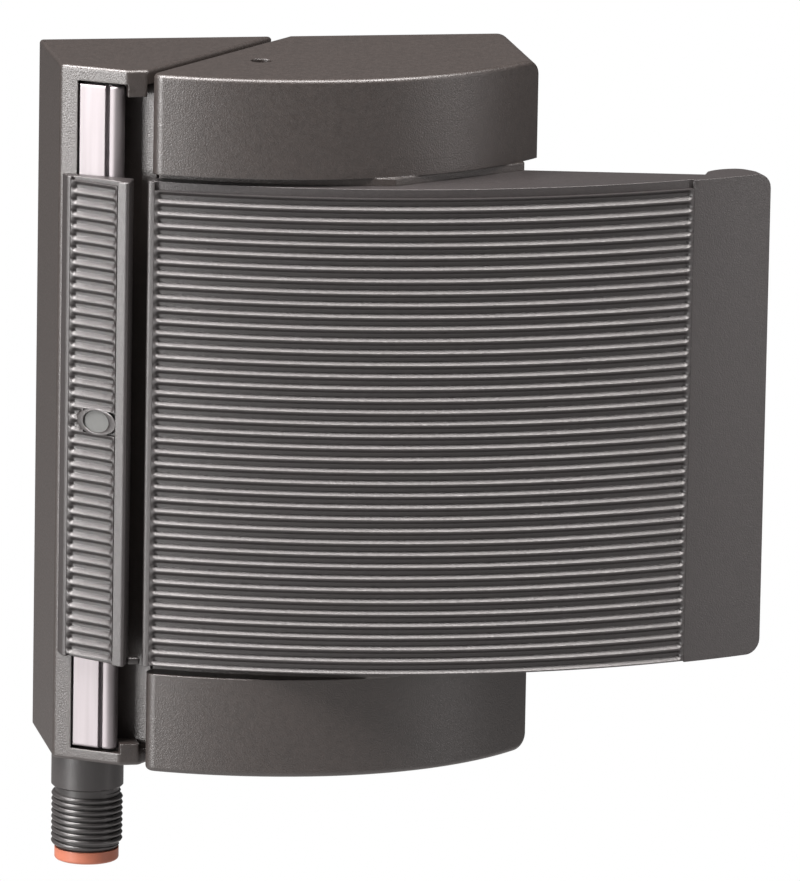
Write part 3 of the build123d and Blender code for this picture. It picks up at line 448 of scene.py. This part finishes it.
def new_tree(name, sizes):
    """A geometry tree with named number inputs, its start and its end."""
    tree = bpy.data.node_groups.new(name, "GeometryNodeTree")
    tree.interface.new_socket("Geometry", in_out="INPUT", socket_type="NodeSocketGeometry")
    for label, kind, value in sizes:
        socket = tree.interface.new_socket(label, in_out="INPUT", socket_type=kind)
        socket.default_value = value
    tree.interface.new_socket("Geometry", in_out="OUTPUT", socket_type="NodeSocketGeometry")
    return tree, tree.nodes.new("NodeGroupInput"), tree.nodes.new("NodeGroupOutput")


def arithmetic(tree, operation, first, second):
    """One step of arithmetic, on links or plain numbers."""
    node = tree.nodes.new("ShaderNodeMath")
    node.operation = operation
    for socket, value in zip(node.inputs, (first, second)):
        if isinstance(value, (int, float)):
            socket.default_value = value
        else:
            tree.links.new(value, socket)
    return node.outputs["Value"]


def noted(tree, geometry, label, kind, value):
    """Write a value onto the points under a name."""
    node = tree.nodes.new("GeometryNodeStoreNamedAttribute")
    node.data_type = kind
    node.domain = "POINT"
    node.inputs["Name"].default_value = label
    tree.links.new(geometry, node.inputs["Geometry"])
    tree.links.new(value, node.inputs["Value"])
    return node.outputs["Geometry"]


def read_back(tree, label, kind):
    """Read a value that was written onto the points."""
    node = tree.nodes.new("GeometryNodeInputNamedAttribute")
    node.data_type = kind
    node.inputs["Name"].default_value = label
    return node.outputs["Attribute"]


def scaled(tree, vector, factor):
    """A vector times a number."""
    node = tree.nodes.new("ShaderNodeVectorMath")
    node.operation = "SCALE"
    tree.links.new(vector, node.inputs[0])
    tree.links.new(factor, node.inputs["Scale"])
    return node.outputs["Vector"]


def rib_tree(material):
    """Lay one band along the object's edges, sink a round-ended trough into it and repeat it upwards."""
    sizes = [
        ("Count", "NodeSocketInt", TROUGH_COUNT),
        ("Pitch", "NodeSocketFloat", RIB_PITCH * MM),
        ("Crest Width", "NodeSocketFloat", CREST_WIDTH * MM),
        ("Trough Depth", "NodeSocketFloat", TROUGH_DEPTH * MM),
        ("Steepness", "NodeSocketFloat", TROUGH_STEEPNESS),
        ("Thickness", "NodeSocketFloat", (RIB_HEIGHT - BAND_SHORTFALL) * MM),
    ]
    tree, start, end = new_tree("troughs in a row", sizes)
    nodes, link = tree.nodes, tree.links.new

    # The line that the band follows, with each point's distance from its nearer end
    path = nodes.new("GeometryNodeMeshToCurve")
    link(start.outputs["Geometry"], path.inputs["Mesh"])
    upright = nodes.new("GeometryNodeSetCurveNormal")
    upright.mode = "Z_UP"
    link(path.outputs["Curve"], upright.inputs["Curve"])
    along = nodes.new("GeometryNodeSplineParameter")
    total = nodes.new("GeometryNodeSplineLength")
    rest = arithmetic(tree, "SUBTRACT", total.outputs["Length"], along.outputs["Length"])
    from_end = arithmetic(tree, "MINIMUM", along.outputs["Length"], rest)
    outward = nodes.new("GeometryNodeInputNormal")
    rail = noted(tree, upright.outputs["Curve"], "from_end", "FLOAT", from_end)
    rail = noted(tree, rail, "outward", "FLOAT_VECTOR", outward.outputs["Normal"])

    # The band's section, an upright line as high as the pitch
    half_pitch = arithmetic(tree, "MULTIPLY", start.outputs["Pitch"], 0.5)
    low = nodes.new("ShaderNodeCombineXYZ")
    link(arithmetic(tree, "MULTIPLY", half_pitch, -1.0), low.inputs["Y"])
    high = nodes.new("ShaderNodeCombineXYZ")
    link(half_pitch, high.inputs["Y"])
    line = nodes.new("GeometryNodeCurvePrimitiveLine")
    link(low.outputs["Vector"], line.inputs["Start"])
    link(high.outputs["Vector"], line.inputs["End"])
    dense = nodes.new("GeometryNodeResampleCurve")
    dense.inputs["Count"].default_value = BAND_POINTS
    link(line.outputs["Curve"], dense.inputs["Curve"])
    here = nodes.new("GeometryNodeInputPosition")
    apart = nodes.new("ShaderNodeSeparateXYZ")
    link(here.outputs["Position"], apart.inputs["Vector"])
    section = noted(tree, dense.outputs["Curve"], "across", "FLOAT", apart.outputs["Y"])

    band = nodes.new("GeometryNodeCurveToMesh")
    link(rail, band.inputs["Curve"])
    link(section, band.inputs["Profile Curve"])

    # The trough's depth: it slopes down from the crests and the round ends to a flat bottom
    near_end = arithmetic(tree, "SUBTRACT", half_pitch, read_back(tree, "from_end", "FLOAT"))
    near_end = arithmetic(tree, "POWER", arithmetic(tree, "MAXIMUM", near_end, 0.0), 2.0)
    across = read_back(tree, "across", "FLOAT")
    square = arithmetic(tree, "ADD", near_end, arithmetic(tree, "MULTIPLY", across, across))
    half_crest = arithmetic(tree, "MULTIPLY", start.outputs["Crest Width"], 0.5)
    half = arithmetic(tree, "SUBTRACT", half_pitch, half_crest)
    from_crest = arithmetic(tree, "SUBTRACT", half, arithmetic(tree, "POWER", square, 0.5))
    inside = arithmetic(tree, "MAXIMUM", from_crest, 0.0)
    sloped = arithmetic(tree, "MULTIPLY", inside, start.outputs["Steepness"])
    deep = arithmetic(tree, "MINIMUM", sloped, start.outputs["Trough Depth"])
    inward = arithmetic(tree, "MULTIPLY", deep, -1.0)
    normal = read_back(tree, "outward", "FLOAT_VECTOR")
    scoop = nodes.new("GeometryNodeSetPosition")
    link(band.outputs["Mesh"], scoop.inputs["Geometry"])
    link(scaled(tree, normal, inward), scoop.inputs["Offset"])

    # The band's back and sides
    thick = nodes.new("GeometryNodeExtrudeMesh")
    thick.inputs["Individual"].default_value = False
    link(band.outputs["Mesh"], thick.inputs["Mesh"])
    backward = arithmetic(tree, "MULTIPLY", start.outputs["Thickness"], -1.0)
    link(scaled(tree, normal, backward), thick.inputs["Offset"])
    both = nodes.new("GeometryNodeJoinGeometry")
    link(scoop.outputs["Geometry"], both.inputs["Geometry"])
    link(thick.outputs["Mesh"], both.inputs["Geometry"])

    # The row
    step = nodes.new("ShaderNodeCombineXYZ")
    link(start.outputs["Pitch"], step.inputs["Z"])
    rows = nodes.new("GeometryNodeMeshLine")
    link(start.outputs["Count"], rows.inputs["Count"])
    link(step.outputs["Vector"], rows.inputs["Offset"])
    copies = nodes.new("GeometryNodeInstanceOnPoints")
    link(rows.outputs["Mesh"], copies.inputs["Points"])
    link(both.outputs["Geometry"], copies.inputs["Instance"])
    real = nodes.new("GeometryNodeRealizeInstances")
    link(copies.outputs["Instances"], real.inputs["Geometry"])
    colour = nodes.new("GeometryNodeSetMaterial")
    colour.inputs["Material"].default_value = material
    link(real.outputs["Geometry"], colour.inputs["Geometry"])
    link(colour.outputs["Geometry"], end.inputs["Geometry"])
    return tree


def thread_tree(material):
    """Sweep a small rounded section along a spiral that thins out at both ends."""
    sizes = [
        ("Turns", "NodeSocketFloat", THREAD_RUN / THREAD_PITCH),
        ("Radius", "NodeSocketFloat", THREAD_ROOT * MM),
        ("Length", "NodeSocketFloat", THREAD_RUN * MM),
        ("Width", "NodeSocketFloat", THREAD_WIDTH * MM),
        ("Height", "NodeSocketFloat", (THREAD_RADIUS - THREAD_ROOT) * MM),
    ]
    tree, start, end = new_tree("one long thread", sizes)
    nodes, link = tree.nodes, tree.links.new
    spiral = nodes.new("GeometryNodeCurveSpiral")
    spiral.inputs["Resolution"].default_value = THREAD_TURN_STEPS
    link(start.outputs["Turns"], spiral.inputs["Rotations"])
    link(start.outputs["Radius"], spiral.inputs["Start Radius"])
    link(start.outputs["Radius"], spiral.inputs["End Radius"])
    link(start.outputs["Length"], spiral.inputs["Height"])
    upright = nodes.new("GeometryNodeSetCurveNormal")
    upright.mode = "Z_UP"
    link(spiral.outputs["Curve"], upright.inputs["Curve"])
    along = nodes.new("GeometryNodeSplineParameter")
    from_end = arithmetic(tree, "PINGPONG", along.outputs["Factor"], 0.5)
    fade = nodes.new("ShaderNodeMapRange")
    fade.inputs["From Min"].default_value = 0.0
    fade.inputs["From Max"].default_value = THREAD_FADE
    fade.inputs["To Min"].default_value = THREAD_FADE
    fade.inputs["To Max"].default_value = 1.0
    link(from_end, fade.inputs["Value"])
    thin = nodes.new("GeometryNodeSetCurveRadius")
    link(upright.outputs["Curve"], thin.inputs["Curve"])
    link(fade.outputs["Result"], thin.inputs["Radius"])
    circle = nodes.new("GeometryNodeCurvePrimitiveCircle")
    circle.inputs["Resolution"].default_value = THREAD_SECTION_POINTS
    circle.inputs["Radius"].default_value = 1.0
    shape = nodes.new("ShaderNodeCombineXYZ")
    shape.inputs["Z"].default_value = 1.0
    link(start.outputs["Height"], shape.inputs["X"])
    link(arithmetic(tree, "MULTIPLY", start.outputs["Width"], 0.5), shape.inputs["Y"])
    section = nodes.new("GeometryNodeTransform")
    link(circle.outputs["Curve"], section.inputs["Geometry"])
    link(shape.outputs["Vector"], section.inputs["Scale"])
    sweep = nodes.new("GeometryNodeCurveToMesh")
    sweep.inputs["Fill Caps"].default_value = True
    link(thin.outputs["Curve"], sweep.inputs["Curve"])
    link(section.outputs["Geometry"], sweep.inputs["Profile Curve"])
    radius = nodes.new("GeometryNodeInputRadius")
    link(radius.outputs["Radius"], sweep.inputs["Scale"])
    real = nodes.new("GeometryNodeRealizeInstances")
    link(sweep.outputs["Mesh"], real.inputs["Geometry"])
    colour = nodes.new("GeometryNodeSetMaterial")
    colour.inputs["Material"].default_value = material
    link(real.outputs["Geometry"], colour.inputs["Geometry"])
    link(colour.outputs["Geometry"], end.inputs["Geometry"])
    return tree


def grown(name, tree, points, values, shift):
    """Run a geometry tree on a line of points and keep the result as a plain mesh, moved by a shift."""
    mesh = bpy.data.meshes.new(name)
    mesh.from_pydata([tuple(p) for p in points], [(i, i + 1) for i in range(len(points) - 1)], [])
    obj = bpy.data.objects.new(name, mesh)
    bpy.context.scene.collection.objects.link(obj)
    modifier = obj.modifiers.new("grown", "NODES")
    modifier.node_group = tree
    sockets = {s.name: s.identifier for s in tree.interface.items_tree if s.in_out == "INPUT"}
    for label, value in values.items():
        modifier[sockets[label]] = value
    settle(obj)
    work = bmesh.new()
    work.from_mesh(obj.data)
    bmesh.ops.remove_doubles(work, verts=work.verts, dist=SAME_POINT)
    # A wall between two bands has edges that more than two faces share
    inner = [face for face in work.faces if sum(len(edge.link_faces) > 2 for edge in face.edges) > 1]
    bmesh.ops.delete(work, geom=inner, context="FACES")
    bmesh.ops.translate(work, verts=work.verts, vec=shift)
    bmesh.ops.recalc_face_normals(work, faces=work.faces)
    work.to_mesh(obj.data)
    work.free()
    smooth(obj, GROWN_SHARP_FROM)
    return obj


def finish_piece(obj, body, node):
    """Hand a piece over to its body, in the place of a CAD node where one is named."""
    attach(obj, body)
    if node:
        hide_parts(node)


# Wing


def arc_depth(radius, from_left):
    """Depth of an arc about the wing's centre."""
    return WING_CENTRE_DEPTH + math.sqrt(radius**2 - (from_left - WING_PEAK) ** 2)


def arc_meets(radius, back_left):
    """Where such an arc meets a line from a point on the back that slopes as the units' gap does."""
    a = 1 + TILT**2
    b = -2 * (TILT * (back_left - WING_PEAK) + WING_CENTRE_DEPTH)
    c = (back_left - WING_PEAK) ** 2 + WING_CENTRE_DEPTH**2 - radius**2
    depth = (-b + math.sqrt(b**2 - 4 * a * c)) / (2 * a)
    return back_left - TILT * depth, depth


def span(start, end, steps):
    """Evenly spaced numbers from start to end."""
    return [start + (end - start) * i / steps for i in range(steps + 1)]


def three_point_arc(first, middle, last, steps):
    """Points on the arc through three points in plan."""
    (x1, y1), (x2, y2), (x3, y3) = first, middle, last
    d = 2 * (x1 * (y2 - y3) + x2 * (y3 - y1) + x3 * (y1 - y2))
    q1, q2, q3 = x1 * x1 + y1 * y1, x2 * x2 + y2 * y2, x3 * x3 + y3 * y3
    cx = (q1 * (y2 - y3) + q2 * (y3 - y1) + q3 * (y1 - y2)) / d
    cy = (q1 * (x3 - x2) + q2 * (x1 - x3) + q3 * (x2 - x1)) / d
    radius = math.hypot(x1 - cx, y1 - cy)
    start = math.atan2(y1 - cy, x1 - cx)
    turn = math.atan2(y3 - cy, x3 - cx) - start
    turn = (turn + math.pi) % (2 * math.pi) - math.pi
    angles = span(start, start + turn, steps)
    return [(cx + radius * math.cos(angle), cy + radius * math.sin(angle)) for angle in angles]


def rounded_corner(before, corner, after, reach, steps=8):
    """Points of a curve that cuts a corner off, from and to a distance along its two sides."""
    ends = []
    for other in (before, after):
        length = math.hypot(other[0] - corner[0], other[1] - corner[1])
        ends.append(tuple(c + (o - c) * reach / length for c, o in zip(corner, other)))
    guides = (ends[0], corner, ends[1])
    curve = []
    for t in span(0, 1, steps):
        weights = ((1 - t) ** 2, 2 * t * (1 - t), t**2)
        curve.append(tuple(sum(w * guide[k] for w, guide in zip(weights, guides)) for k in (0, 1)))
    return curve


def wing_plan():
    """The wing in plan, sunk where the ribs stand."""
    body_left = SWITCH_BACK + GAP
    left = arc_meets(WING_RADIUS, body_left)
    seat_radius = WING_RADIUS - WING_WALL + SEAT_GAP
    seat = arc_meets(seat_radius, body_left)
    sunk_radius = WING_RADIUS - RIB_HEIGHT
    start = (RIBS_FROM, arc_depth(WING_RADIUS, RIBS_FROM))
    points = rounded_corner(seat, left, start, WING_LEFT_ROUND)
    points += [start]
    points += [(x, arc_depth(sunk_radius, x)) for x in span(RIBS_FROM, RIBS_TO, FRONT_STEPS)]
    points += [(x, arc_depth(WING_RADIUS, x)) for x in span(RIBS_TO, TIP, TIP_STEPS)]
    points += three_point_arc(LIP_END, LIP_LOW, LIP_START, LIP_STEPS)
    points += [NECK]
    fall = (arc_depth(WING_RADIUS - WING_WALL, SEAT_BEND) - SEAT_END_DEPTH) / (SEAT_END - SEAT_BEND)
    points += [(SEAT_END, SEAT_END_DEPTH + SEAT_GAP * math.sqrt(1 + fall**2))]
    points += [(x, arc_depth(seat_radius, x)) for x in span(SEAT_BEND, seat[0], SEAT_STEPS)]
    return points


def tip_limit(z):
    """How far right the wing reaches at a height, with its rounded corners."""
    over = abs(z) - (WING_HALF - TIP_CORNER)
    if over <= 0:
        return TIP
    return TIP - TIP_CORNER + math.sqrt(max(0.0, TIP_CORNER**2 - over**2))


def wing_body(material):
    """The wing without its ribs."""
    plan = wing_plan()
    corner_angles = (0, 15, 30, 45, 60, 75, 90)
    heights = [WING_HALF - TIP_CORNER + TIP_CORNER * math.sin(math.radians(a)) for a in corner_angles]
    levels = [-height for height in heights[::-1]] + heights
    start = TIP - 2 * TIP_CORNER
    rings = []
    for z in levels:
        ring = []
        for x, depth in plan:
            if x > start:
                drawn_in = start + (x - start) * (tip_limit(z) - start) / (TIP - start)
                on_front = abs(depth - arc_depth(WING_RADIUS, x)) < SAME_DEPTH
                x = drawn_in
                if on_front:
                    depth = arc_depth(WING_RADIUS, drawn_in)
            ring.append(place(x, depth, z))
        rings.append(ring)
    obj = mesh_from_rings("wing_body", rings, material)
    soften(obj, WING_EDGE, 3)
    return obj


def end_heavy(start, end, steps, scoop):
    """Numbers from start to end, close together where a trough's round ends are scooped out."""
    near = span(start, start + scoop, ROUND_END_STEPS)[:-1]
    far = span(end - scoop, end, ROUND_END_STEPS)[1:]
    return near + span(start + scoop, end - scoop, steps) + far


def wing_ribs(tree):
    """The troughs across the wing, with the ribs left between them."""
    first = -(TROUGH_COUNT - 1) / 2 * RIB_PITCH - WING_RIBS_LOWER
    numbers = end_heavy(RIBS_FROM, RIBS_TO, WING_RIB_STEPS, RIB_PITCH / 2)
    points = [place(x, arc_depth(WING_RADIUS, x), first) for x in numbers]
    return grown("wing_ribs", tree, points, {}, Vector((0, 0, 0)))


# Strip


def on_strip_face(along, sink=0.0):
    """The place in plan at a distance along the strip's sloping face and at a depth below it."""
    (left, left_depth), (right, right_depth) = STRIP_FACE
    rightward = (right - left) / STRIP_FACE_LENGTH
    forward = (right_depth - left_depth) / STRIP_FACE_LENGTH
    return (left + rightward * along + forward * sink, left_depth + forward * along - rightward * sink)


def strip_body(material):
    """The cover strip without its ribs."""
    start, end = STRIP_RIB_START, STRIP_FACE_LENGTH - STRIP_RIB_END
    foot = (STRIP_RIGHT, SIDE_DEPTH + FRONT_SLOPE * STRIP_RIGHT)
    plan = [(STRIP_LEFT, SIDE_DEPTH + FRONT_SLOPE * STRIP_LEFT), STRIP_FACE[0]]
    plan += [on_strip_face(start), on_strip_face(start, RIB_HEIGHT)]
    plan += [on_strip_face(end, RIB_HEIGHT), on_strip_face(end)]
    plan += rounded_corner(STRIP_FACE[1], STRIP_CREST, foot, STRIP_CREST_ROUND)
    plan += [foot]
    rings = []
    for side in (-1, 1):
        ring = []
        for x, depth in plan:
            across = (x - STRIP_LEFT) / (STRIP_RIGHT - STRIP_LEFT)
            ring.append(place(x, depth, side * (WING_HALF - STRIP_TAPER * (1 - across))))
        rings.append(ring)
    obj = mesh_from_rings("strip_body", rings, material)
    soften(obj, STRIP_EDGE, 3)
    return obj


def strip_ribs(name, tree, begin, finish, row, count):
    """A group of troughs on the strip's sloping face, between two shares of its width, from a row upwards."""
    left, right = begin * STRIP_FACE_LENGTH, finish * STRIP_FACE_LENGTH
    low = (row - (TROUGH_COUNT - 1) / 2) * RIB_PITCH
    round_end = min(RIB_PITCH / 2, (right - left) * LARGEST_END_SHARE)
    numbers = end_heavy(left, right, STRIP_RIB_STEPS, round_end)
    points = [place(*on_strip_face(along), low) for along in numbers]
    return grown(name, tree, points, {"Count": count}, Vector((0, 0, 0)))


def strip_lug(material):
    """The small lug at the strip's lower right corner."""
    front = STRIP_FACE[1][1] - LUG_FROM_FRONT
    back = front - LUG_DEPTH
    left, right = STRIP_RIGHT - LUG_OVERLAP, STRIP_RIGHT + LUG_LENGTH
    corners = [(left, back), (right, back), (right, front), (left, front)]
    rings = [[place(x, depth, z) for x, depth in corners] for z in (-WING_HALF, -WING_HALF + LUG_HEIGHT)]
    obj = mesh_from_rings("strip_lug", rings, material)
    soften(obj, LUG_EDGE, 4)
    return obj


def light_pad(material):
    """The oval pad around the status light."""
    (left, left_depth), (right, right_depth) = STRIP_FACE
    slope = (right_depth - left_depth) / (right - left)
    mouth_x, mouth_z = (LIGHT_RADIUS + play for play in PAD_MOUTH_PLAY)
    bore_x, bore_z = (LIGHT_RADIUS + play for play in PAD_BORE_PLAY)
    rings = []
    for radius_x, radius_z, rise in (
        (PAD_X, PAD_Z, -PAD_SINK),
        (PAD_X, PAD_Z, -PAD_SHOULDER),
        (PAD_X - PAD_EDGE, PAD_Z - PAD_EDGE, PAD_RISE),
        (mouth_x, mouth_z, PAD_RISE),
        (bore_x, bore_z, -PAD_SHOULDER),
        (bore_x, bore_z, -PAD_SINK),
    ):
        ring = []
        for i in range(PAD_STEPS):
            angle = 2 * math.pi * i / PAD_STEPS
            x = LIGHT_FROM_LEFT + radius_x * math.cos(angle)
            ring.append(place(x, left_depth + slope * (x - left) + rise, radius_z * math.sin(angle)))
        rings.append(ring)
    obj = mesh_from_rings("light_surround", rings, material, endless=True)
    smooth(obj)
    return obj


# Connector


def turned(name, profile, centre, material, steps=96):
    """A turned ring from a closed profile of radius and height."""
    rings = []
    for i in range(steps):
        angle = 2 * math.pi * i / steps
        across, forward = math.cos(angle), math.sin(angle)
        rings.append([place(centre[0] + r * across, centre[1] + r * forward, z) for r, z in profile])
    obj = mesh_from_rings(name, rings, material, endless=True)
    smooth(obj)
    return obj


def connector_core(material):
    """The connector's shell without its thread."""
    collar_low = -HALF - COLLAR_LENGTH
    bottom = collar_low - THREAD_LENGTH
    stub_top = -HALF + STUB_LENGTH
    mouth_top = bottom + MOUTH_LENGTH
    profile = [
        (STUB_BORE, stub_top),
        (STUB_RADIUS, stub_top),
        (STUB_RADIUS, -HALF),
        (COLLAR_RADIUS - COLLAR_EDGE, -HALF),
        (COLLAR_RADIUS, -HALF - COLLAR_EDGE),
        (COLLAR_RADIUS, collar_low + COLLAR_EDGE),
        (COLLAR_RADIUS - COLLAR_EDGE, collar_low),
        (THREAD_ROOT, collar_low),
        (THREAD_ROOT, bottom + ROOT_CHAMFER),
        (THREAD_ROOT - ROOT_CHAMFER, bottom),
        (MOUTH_RADIUS, bottom),
        (MOUTH_RADIUS, mouth_top),
        (STUB_BORE, mouth_top),
    ]
    return turned("connector_core", profile, CONNECTOR, material)


def connector_thread(tree):
    """The thread on the connector."""
    low = -HALF - COLLAR_LENGTH - THREAD_LENGTH + THREAD_START
    return grown("connector_thread", tree, [(0, 0, 0), (0, 0, MM)], {}, place(*CONNECTOR, low))


# Stage


def background_share(tree):
    """How white the background is to a ray: wholly to the camera's, a little to mirrored ones, else not."""
    paths = tree.nodes.new("ShaderNodeLightPath")
    glossy, through = paths.outputs["Is Glossy Ray"], paths.outputs["Is Transmission Ray"]
    mirrored = arithmetic(tree, "MAXIMUM", glossy, through)
    softer = arithmetic(tree, "MULTIPLY", mirrored, MIRRORED_WHITE)
    return arithmetic(tree, "MAXIMUM", paths.outputs["Is Camera Ray"], softer)


def blended(tree, share, first, second):
    """A mix of two shaders, with more of the second as the share grows."""
    mix = tree.nodes.new("ShaderNodeMixShader")
    tree.links.new(share, mix.inputs[0])
    tree.links.new(first, mix.inputs[1])
    tree.links.new(second, mix.inputs[2])
    return mix.outputs["Shader"]


def shining(tree, kind, colour, strength):
    """A shader that gives off a colour at a strength."""
    node = tree.nodes.new(kind)
    node.inputs["Color"].default_value = (*colour, 1.0)
    node.inputs["Strength"].default_value = strength
    return node.outputs[0]


def floor_material():
    """Takes light as a pale surface, looks plain white from above and lets sight through from below."""
    material = bpy.data.materials.new("pale floor")
    material.use_nodes = True
    tree = material.node_tree
    tree.nodes.clear()
    output = tree.nodes.new("ShaderNodeOutputMaterial")
    dull = tree.nodes.new("ShaderNodeBsdfDiffuse")
    dull.inputs["Color"].default_value = (*FLOOR_COLOUR, 1.0)
    white = shining(tree, "ShaderNodeEmission", WHITE, 1.0)
    above = blended(tree, background_share(tree), dull.outputs["BSDF"], white)
    sides = tree.nodes.new("ShaderNodeNewGeometry")
    nothing = tree.nodes.new("ShaderNodeBsdfTransparent")
    seen = blended(tree, sides.outputs["Backfacing"], above, nothing.outputs["BSDF"])
    tree.links.new(seen, output.inputs["Surface"])
    return material


def floor(height):
    """A wide pale floor well below the object."""
    corners = ((-1, -1), (1, -1), (1, 1), (-1, 1))
    mesh = bpy.data.meshes.new("floor")
    mesh.from_pydata([(x * FLOOR_HALF, y * FLOOR_HALF, height) for x, y in corners], [], [(0, 1, 2, 3)])
    mesh.materials.append(floor_material())
    obj = bpy.data.objects.new("floor", mesh)
    bpy.context.scene.collection.objects.link(obj)


def world(strength):
    """White to the camera, and a soft pale light for the rest."""
    studio = bpy.data.worlds.new("studio")
    studio.use_nodes = True
    tree = studio.node_tree
    tree.nodes.clear()
    output = tree.nodes.new("ShaderNodeOutputWorld")
    soft = shining(tree, "ShaderNodeBackground", WORLD_COLOUR, strength)
    white = shining(tree, "ShaderNodeBackground", WHITE, 1.0)
    tree.links.new(blended(tree, background_share(tree), soft, white), output.inputs["Surface"])
    bpy.context.scene.world = studio


def aimed(location, target, roll=0.0):
    """A turn that points an object's -Z at a target, with its Y upward."""
    turn = (Vector(target) - Vector(location)).to_track_quat("-Z", "Y").to_matrix()
    return (turn @ Matrix.Rotation(roll, 3, "Z")).to_quaternion()


def area_light(name, location, size, power, colour):
    """A rectangular lamp aimed at the object."""
    lamp = bpy.data.lights.new(name, "AREA")
    lamp.shape = "RECTANGLE"
    lamp.size, lamp.size_y = size
    lamp.energy = power
    lamp.color = colour
    obj = bpy.data.objects.new(name, lamp)
    obj.location = location
    obj.rotation_mode = "QUATERNION"
    obj.rotation_quaternion = aimed(location, LAMPS_AIM)
    bpy.context.scene.collection.objects.link(obj)


def camera():
    """The camera, far off with a long lens."""
    data = bpy.data.cameras.new("camera")
    data.sensor_fit = "HORIZONTAL"
    data.sensor_width = SENSOR
    data.lens = LENS
    data.clip_start = 0.05
    data.clip_end = 50.0
    obj = bpy.data.objects.new("camera", data)
    obj.location = EYE
    obj.rotation_mode = "QUATERNION"
    obj.rotation_quaternion = aimed(EYE, LOOK, ROLL)
    bpy.context.scene.collection.objects.link(obj)
    bpy.context.scene.camera = obj


# The object and its stage

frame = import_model()

for look, names in CAD_LOOKS.items():
    for name in names:
        paint(frame["nodes"][name], MATERIALS[look])

ribs = rib_tree(MATERIALS["ribbed"])
finish_piece(wing_body(MATERIALS["ribbed"]), "handle_unit", "wing_handle")
finish_piece(wing_ribs(ribs), "handle_unit", "")
finish_piece(strip_body(MATERIALS["ribbed"]), "switch_unit", "ribbed_strip")
half = TROUGH_COUNT // 2
rib_begin, rib_finish = RIB_SHARE
for name, begin, finish, row, count in (
    ("strip_ribs_lower", rib_begin, rib_finish, 0, half - 1),
    ("strip_ribs_upper", rib_begin, rib_finish, half + 1, half - 1),
    ("strip_ribs_left_of_light", rib_begin, PAD_SHARE, half - 1, 2),
):
    finish_piece(strip_ribs(name, ribs, begin, finish, row, count), "switch_unit", "")
finish_piece(strip_lug(MATERIALS["ribbed"]), "switch_unit", "")
finish_piece(light_pad(MATERIALS["ribbed"]), "switch_unit", "")
finish_piece(connector_core(MATERIALS["connector"]), "switch_unit", "connector_shell")
finish_piece(connector_thread(thread_tree(MATERIALS["connector"])), "switch_unit", "")

floor(FLOOR_HEIGHT)
world(WORLD_STRENGTH)
for lamp in LAMPS:
    area_light(*lamp)
camera()
bpy.context.scene.view_settings.view_transform = "Standard"
